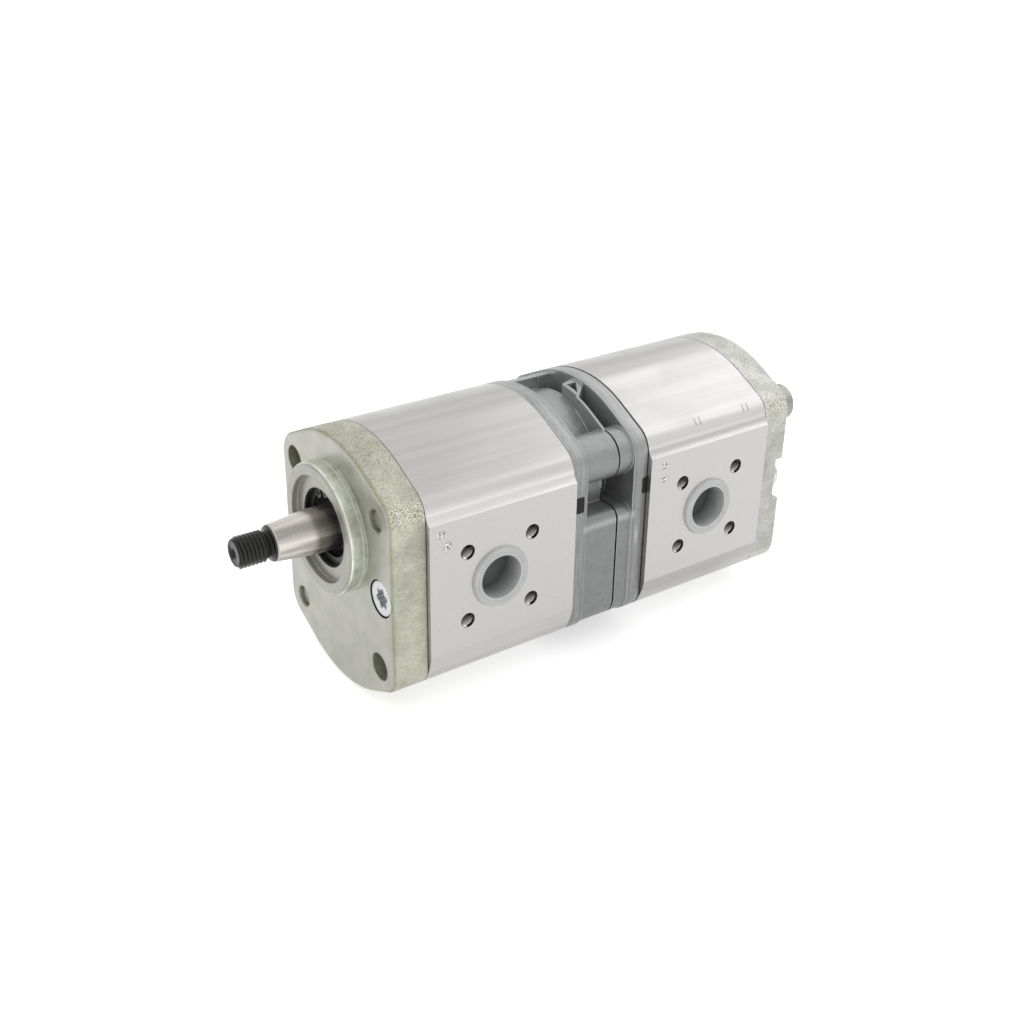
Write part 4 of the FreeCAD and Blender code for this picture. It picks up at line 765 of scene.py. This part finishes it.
def dress_all():
    """Every CAD node gets the finish of what it is made of."""
    extrusion = extruded_aluminium("extruded_aluminium")
    marked = extruded_aluminium("extruded_aluminium_marked", punched=True)
    casting = die_cast_aluminium("die_cast_aluminium")
    # the gears, shafts and dowels are ground bright; the hardened coupling is darker
    steel = ground_steel("ground_steel", "C2BDB7", "CFCAC3", 0.6, 0.26, 0.33)
    hardened = ground_steel("hardened_steel", "6F6E6D", "8B8A88", 0.5, 0.3, 0.42)
    phosphate = blackened_steel("phosphated_steel")
    # bright zinc gives the cover screws a pale, cool shine; the tie bolts' plating is duller and greyer
    zinc = coated("bright_zinc", "BFC2C3", "D2D4D4", 1.6, 0.95, 0.25, 0.35)
    plated = coated("plated_bolt", "8F908B", "A2A29C", 1.2, 0.9, 0.34, 0.46)
    # moulded nitrile rubber is black with a faint sheen
    rubber = coated("nitrile_rubber", "0F0F0F", "1A1A1A", 0.7, 0.0, 0.24, 0.36, specular=0.2)
    # rolled bronze is a warm brown; machined aluminium is pale and bright
    bronze = coated("rolled_bronze", "94713F", "A9854E", 1.1, 0.95, 0.3, 0.42)
    machined = coated("machined_aluminium", "C7C7C5", "D9D9D7", 0.9, 0.95, 0.28, 0.38)
    plastic = shipping_plastic("shipping_polyethylene")
    by_slot = {"extruded_aluminium": extrusion, "die_cast_aluminium": casting, "ground_steel": steel,
               "case_hardened_steel": hardened, "spring_steel": phosphate, "bright_zinc_steel": zinc,
               "plated_bolt_steel": plated, "nitrile_rubber": rubber, "bearing_bronze": bronze,
               "bearing_aluminium": machined, "dowel_steel": steel, "shipping_plastic": plastic}
    for part in frame["record"]["subparts"]:
        if part["material_slot"] in by_slot:
            dress(part["node"], by_slot[part["material_slot"]])
    dress("rear_body", marked)
    dress("front_cover", plated_casting("plated_iron_front", FACE_Y, -1, FRONT_JOINT_Y, 1.0,
                                        "A7A898", "C0C1B1"))
    # the rear cover's back stays as cast, so its machined face is put out of reach
    no_face_y = END_Y + 5 * MM
    dress("rear_cover", plated_casting("plated_iron_rear", no_face_y, 1, REAR_JOINT_Y, 0.8,
                                       "B2B2AD", "CDCDC7"))
    drive_shaft(steel, phosphate)
    port_threads(cut_thread("cut_thread"))
    flush_screws(zinc)


def seen_plainly(tree):
    """Is 1 for camera, glossy and transmission rays, and 0 for the rays that carry soft light."""
    path = add(tree, "ShaderNodeLightPath").outputs
    seen = add(tree, "ShaderNodeMath", {0: path["Is Camera Ray"], 1: path["Is Glossy Ray"]},
               operation="MAXIMUM").outputs[0]
    return add(tree, "ShaderNodeMath", {0: seen, 1: path["Is Transmission Ray"]},
               operation="MAXIMUM").outputs[0]


def pale_floor():
    """A white floor that keeps the pump's soft shadow; direct looks at it come out paper white."""
    data = bpy.data.meshes.new("floor")
    mesh = bmesh.new()
    bmesh.ops.create_grid(mesh, x_segments=1, y_segments=1, size=4.0)
    bmesh.ops.translate(mesh, vec=(0, 0, FLOOR_Z), verts=mesh.verts)
    mesh.to_mesh(data)
    mesh.free()
    floor = bpy.data.objects.new("floor", data)
    bpy.context.scene.collection.objects.link(floor)
    material = bpy.data.materials.new("floor_white")
    material.use_nodes = True
    tree = material.node_tree
    shader = tree.nodes["Principled BSDF"]
    feed(tree, shader, {"Base Color": srgb("F4F4F4"), "Roughness": 0.9, "Specular IOR Level": 0.1})
    lift = add(tree, "ShaderNodeEmission", {"Strength": 0.5})
    both = add(tree, "ShaderNodeAddShader", {0: shader.outputs[0], 1: lift.outputs[0]})
    pick = add(tree, "ShaderNodeMixShader", {0: seen_plainly(tree), 1: shader.outputs[0], 2: both.outputs[0]})
    feed(tree, tree.nodes["Material Output"], {"Surface": pick.outputs[0]})
    data.materials.append(material)


def studio_world():
    """A white surround for the camera and for what metal reflects, and a softer one for light."""
    world = bpy.data.worlds.new("studio")
    bpy.context.scene.world = world
    world.use_nodes = True
    tree = world.node_tree
    light = add(tree, "ShaderNodeMapRange", {0: seen_plainly(tree), 3: 0.8, 4: 1.0}).outputs[0]
    feed(tree, tree.nodes["Background"], {"Color": (1, 1, 1, 1), "Strength": light})


def soft_lamp(name, place, width, height, power):
    """A soft box at a place in metres, turned to the pump's middle."""
    lamp = bpy.data.lights.new(name, "AREA")
    lamp.shape = "RECTANGLE"
    lamp.size = width
    lamp.size_y = height
    lamp.energy = power
    holder = bpy.data.objects.new(name, lamp)
    bpy.context.scene.collection.objects.link(holder)
    middle = (CAD_BOX[0] + CAD_BOX[1]) / 2
    holder.location = place
    holder.rotation_euler = (middle - Vector(place)).to_track_quat("-Z", "Y").to_euler()


def photo_camera():
    """The photograph's camera: azimuth from the front, height above the floor, and a slight roll."""
    a, e, r = CAMERA_AZIMUTH, CAMERA_ELEVATION, CAMERA_ROLL
    back = Vector((math.sin(a) * math.cos(e), -math.cos(a) * math.cos(e), math.sin(e)))
    right = Vector((math.cos(a), math.sin(a), 0))
    up = back.cross(right)
    right, up = (right * math.cos(r) + up * math.sin(r), up * math.cos(r) - right * math.sin(r))
    camera = bpy.data.cameras.new("photo_camera")
    camera.lens = CAMERA_LENS
    camera.clip_start = 0.01
    holder = bpy.data.objects.new("photo_camera", camera)
    bpy.context.scene.collection.objects.link(holder)
    turn = Matrix((right, up, back)).transposed().to_4x4()
    holder.matrix_world = Matrix.Translation(CAMERA_PLACE) @ turn
    bpy.context.scene.camera = holder


dress_all()
pale_floor()
studio_world()
soft_lamp("top_rear", (0.02, 0.62, 0.46), 0.9, 0.4, 1.15)
soft_lamp("front_left", (-0.5, -0.9, 0.7), 0.8, 0.8, 0.6)
photo_camera()
bpy.context.scene.view_settings.view_transform = "Standard"
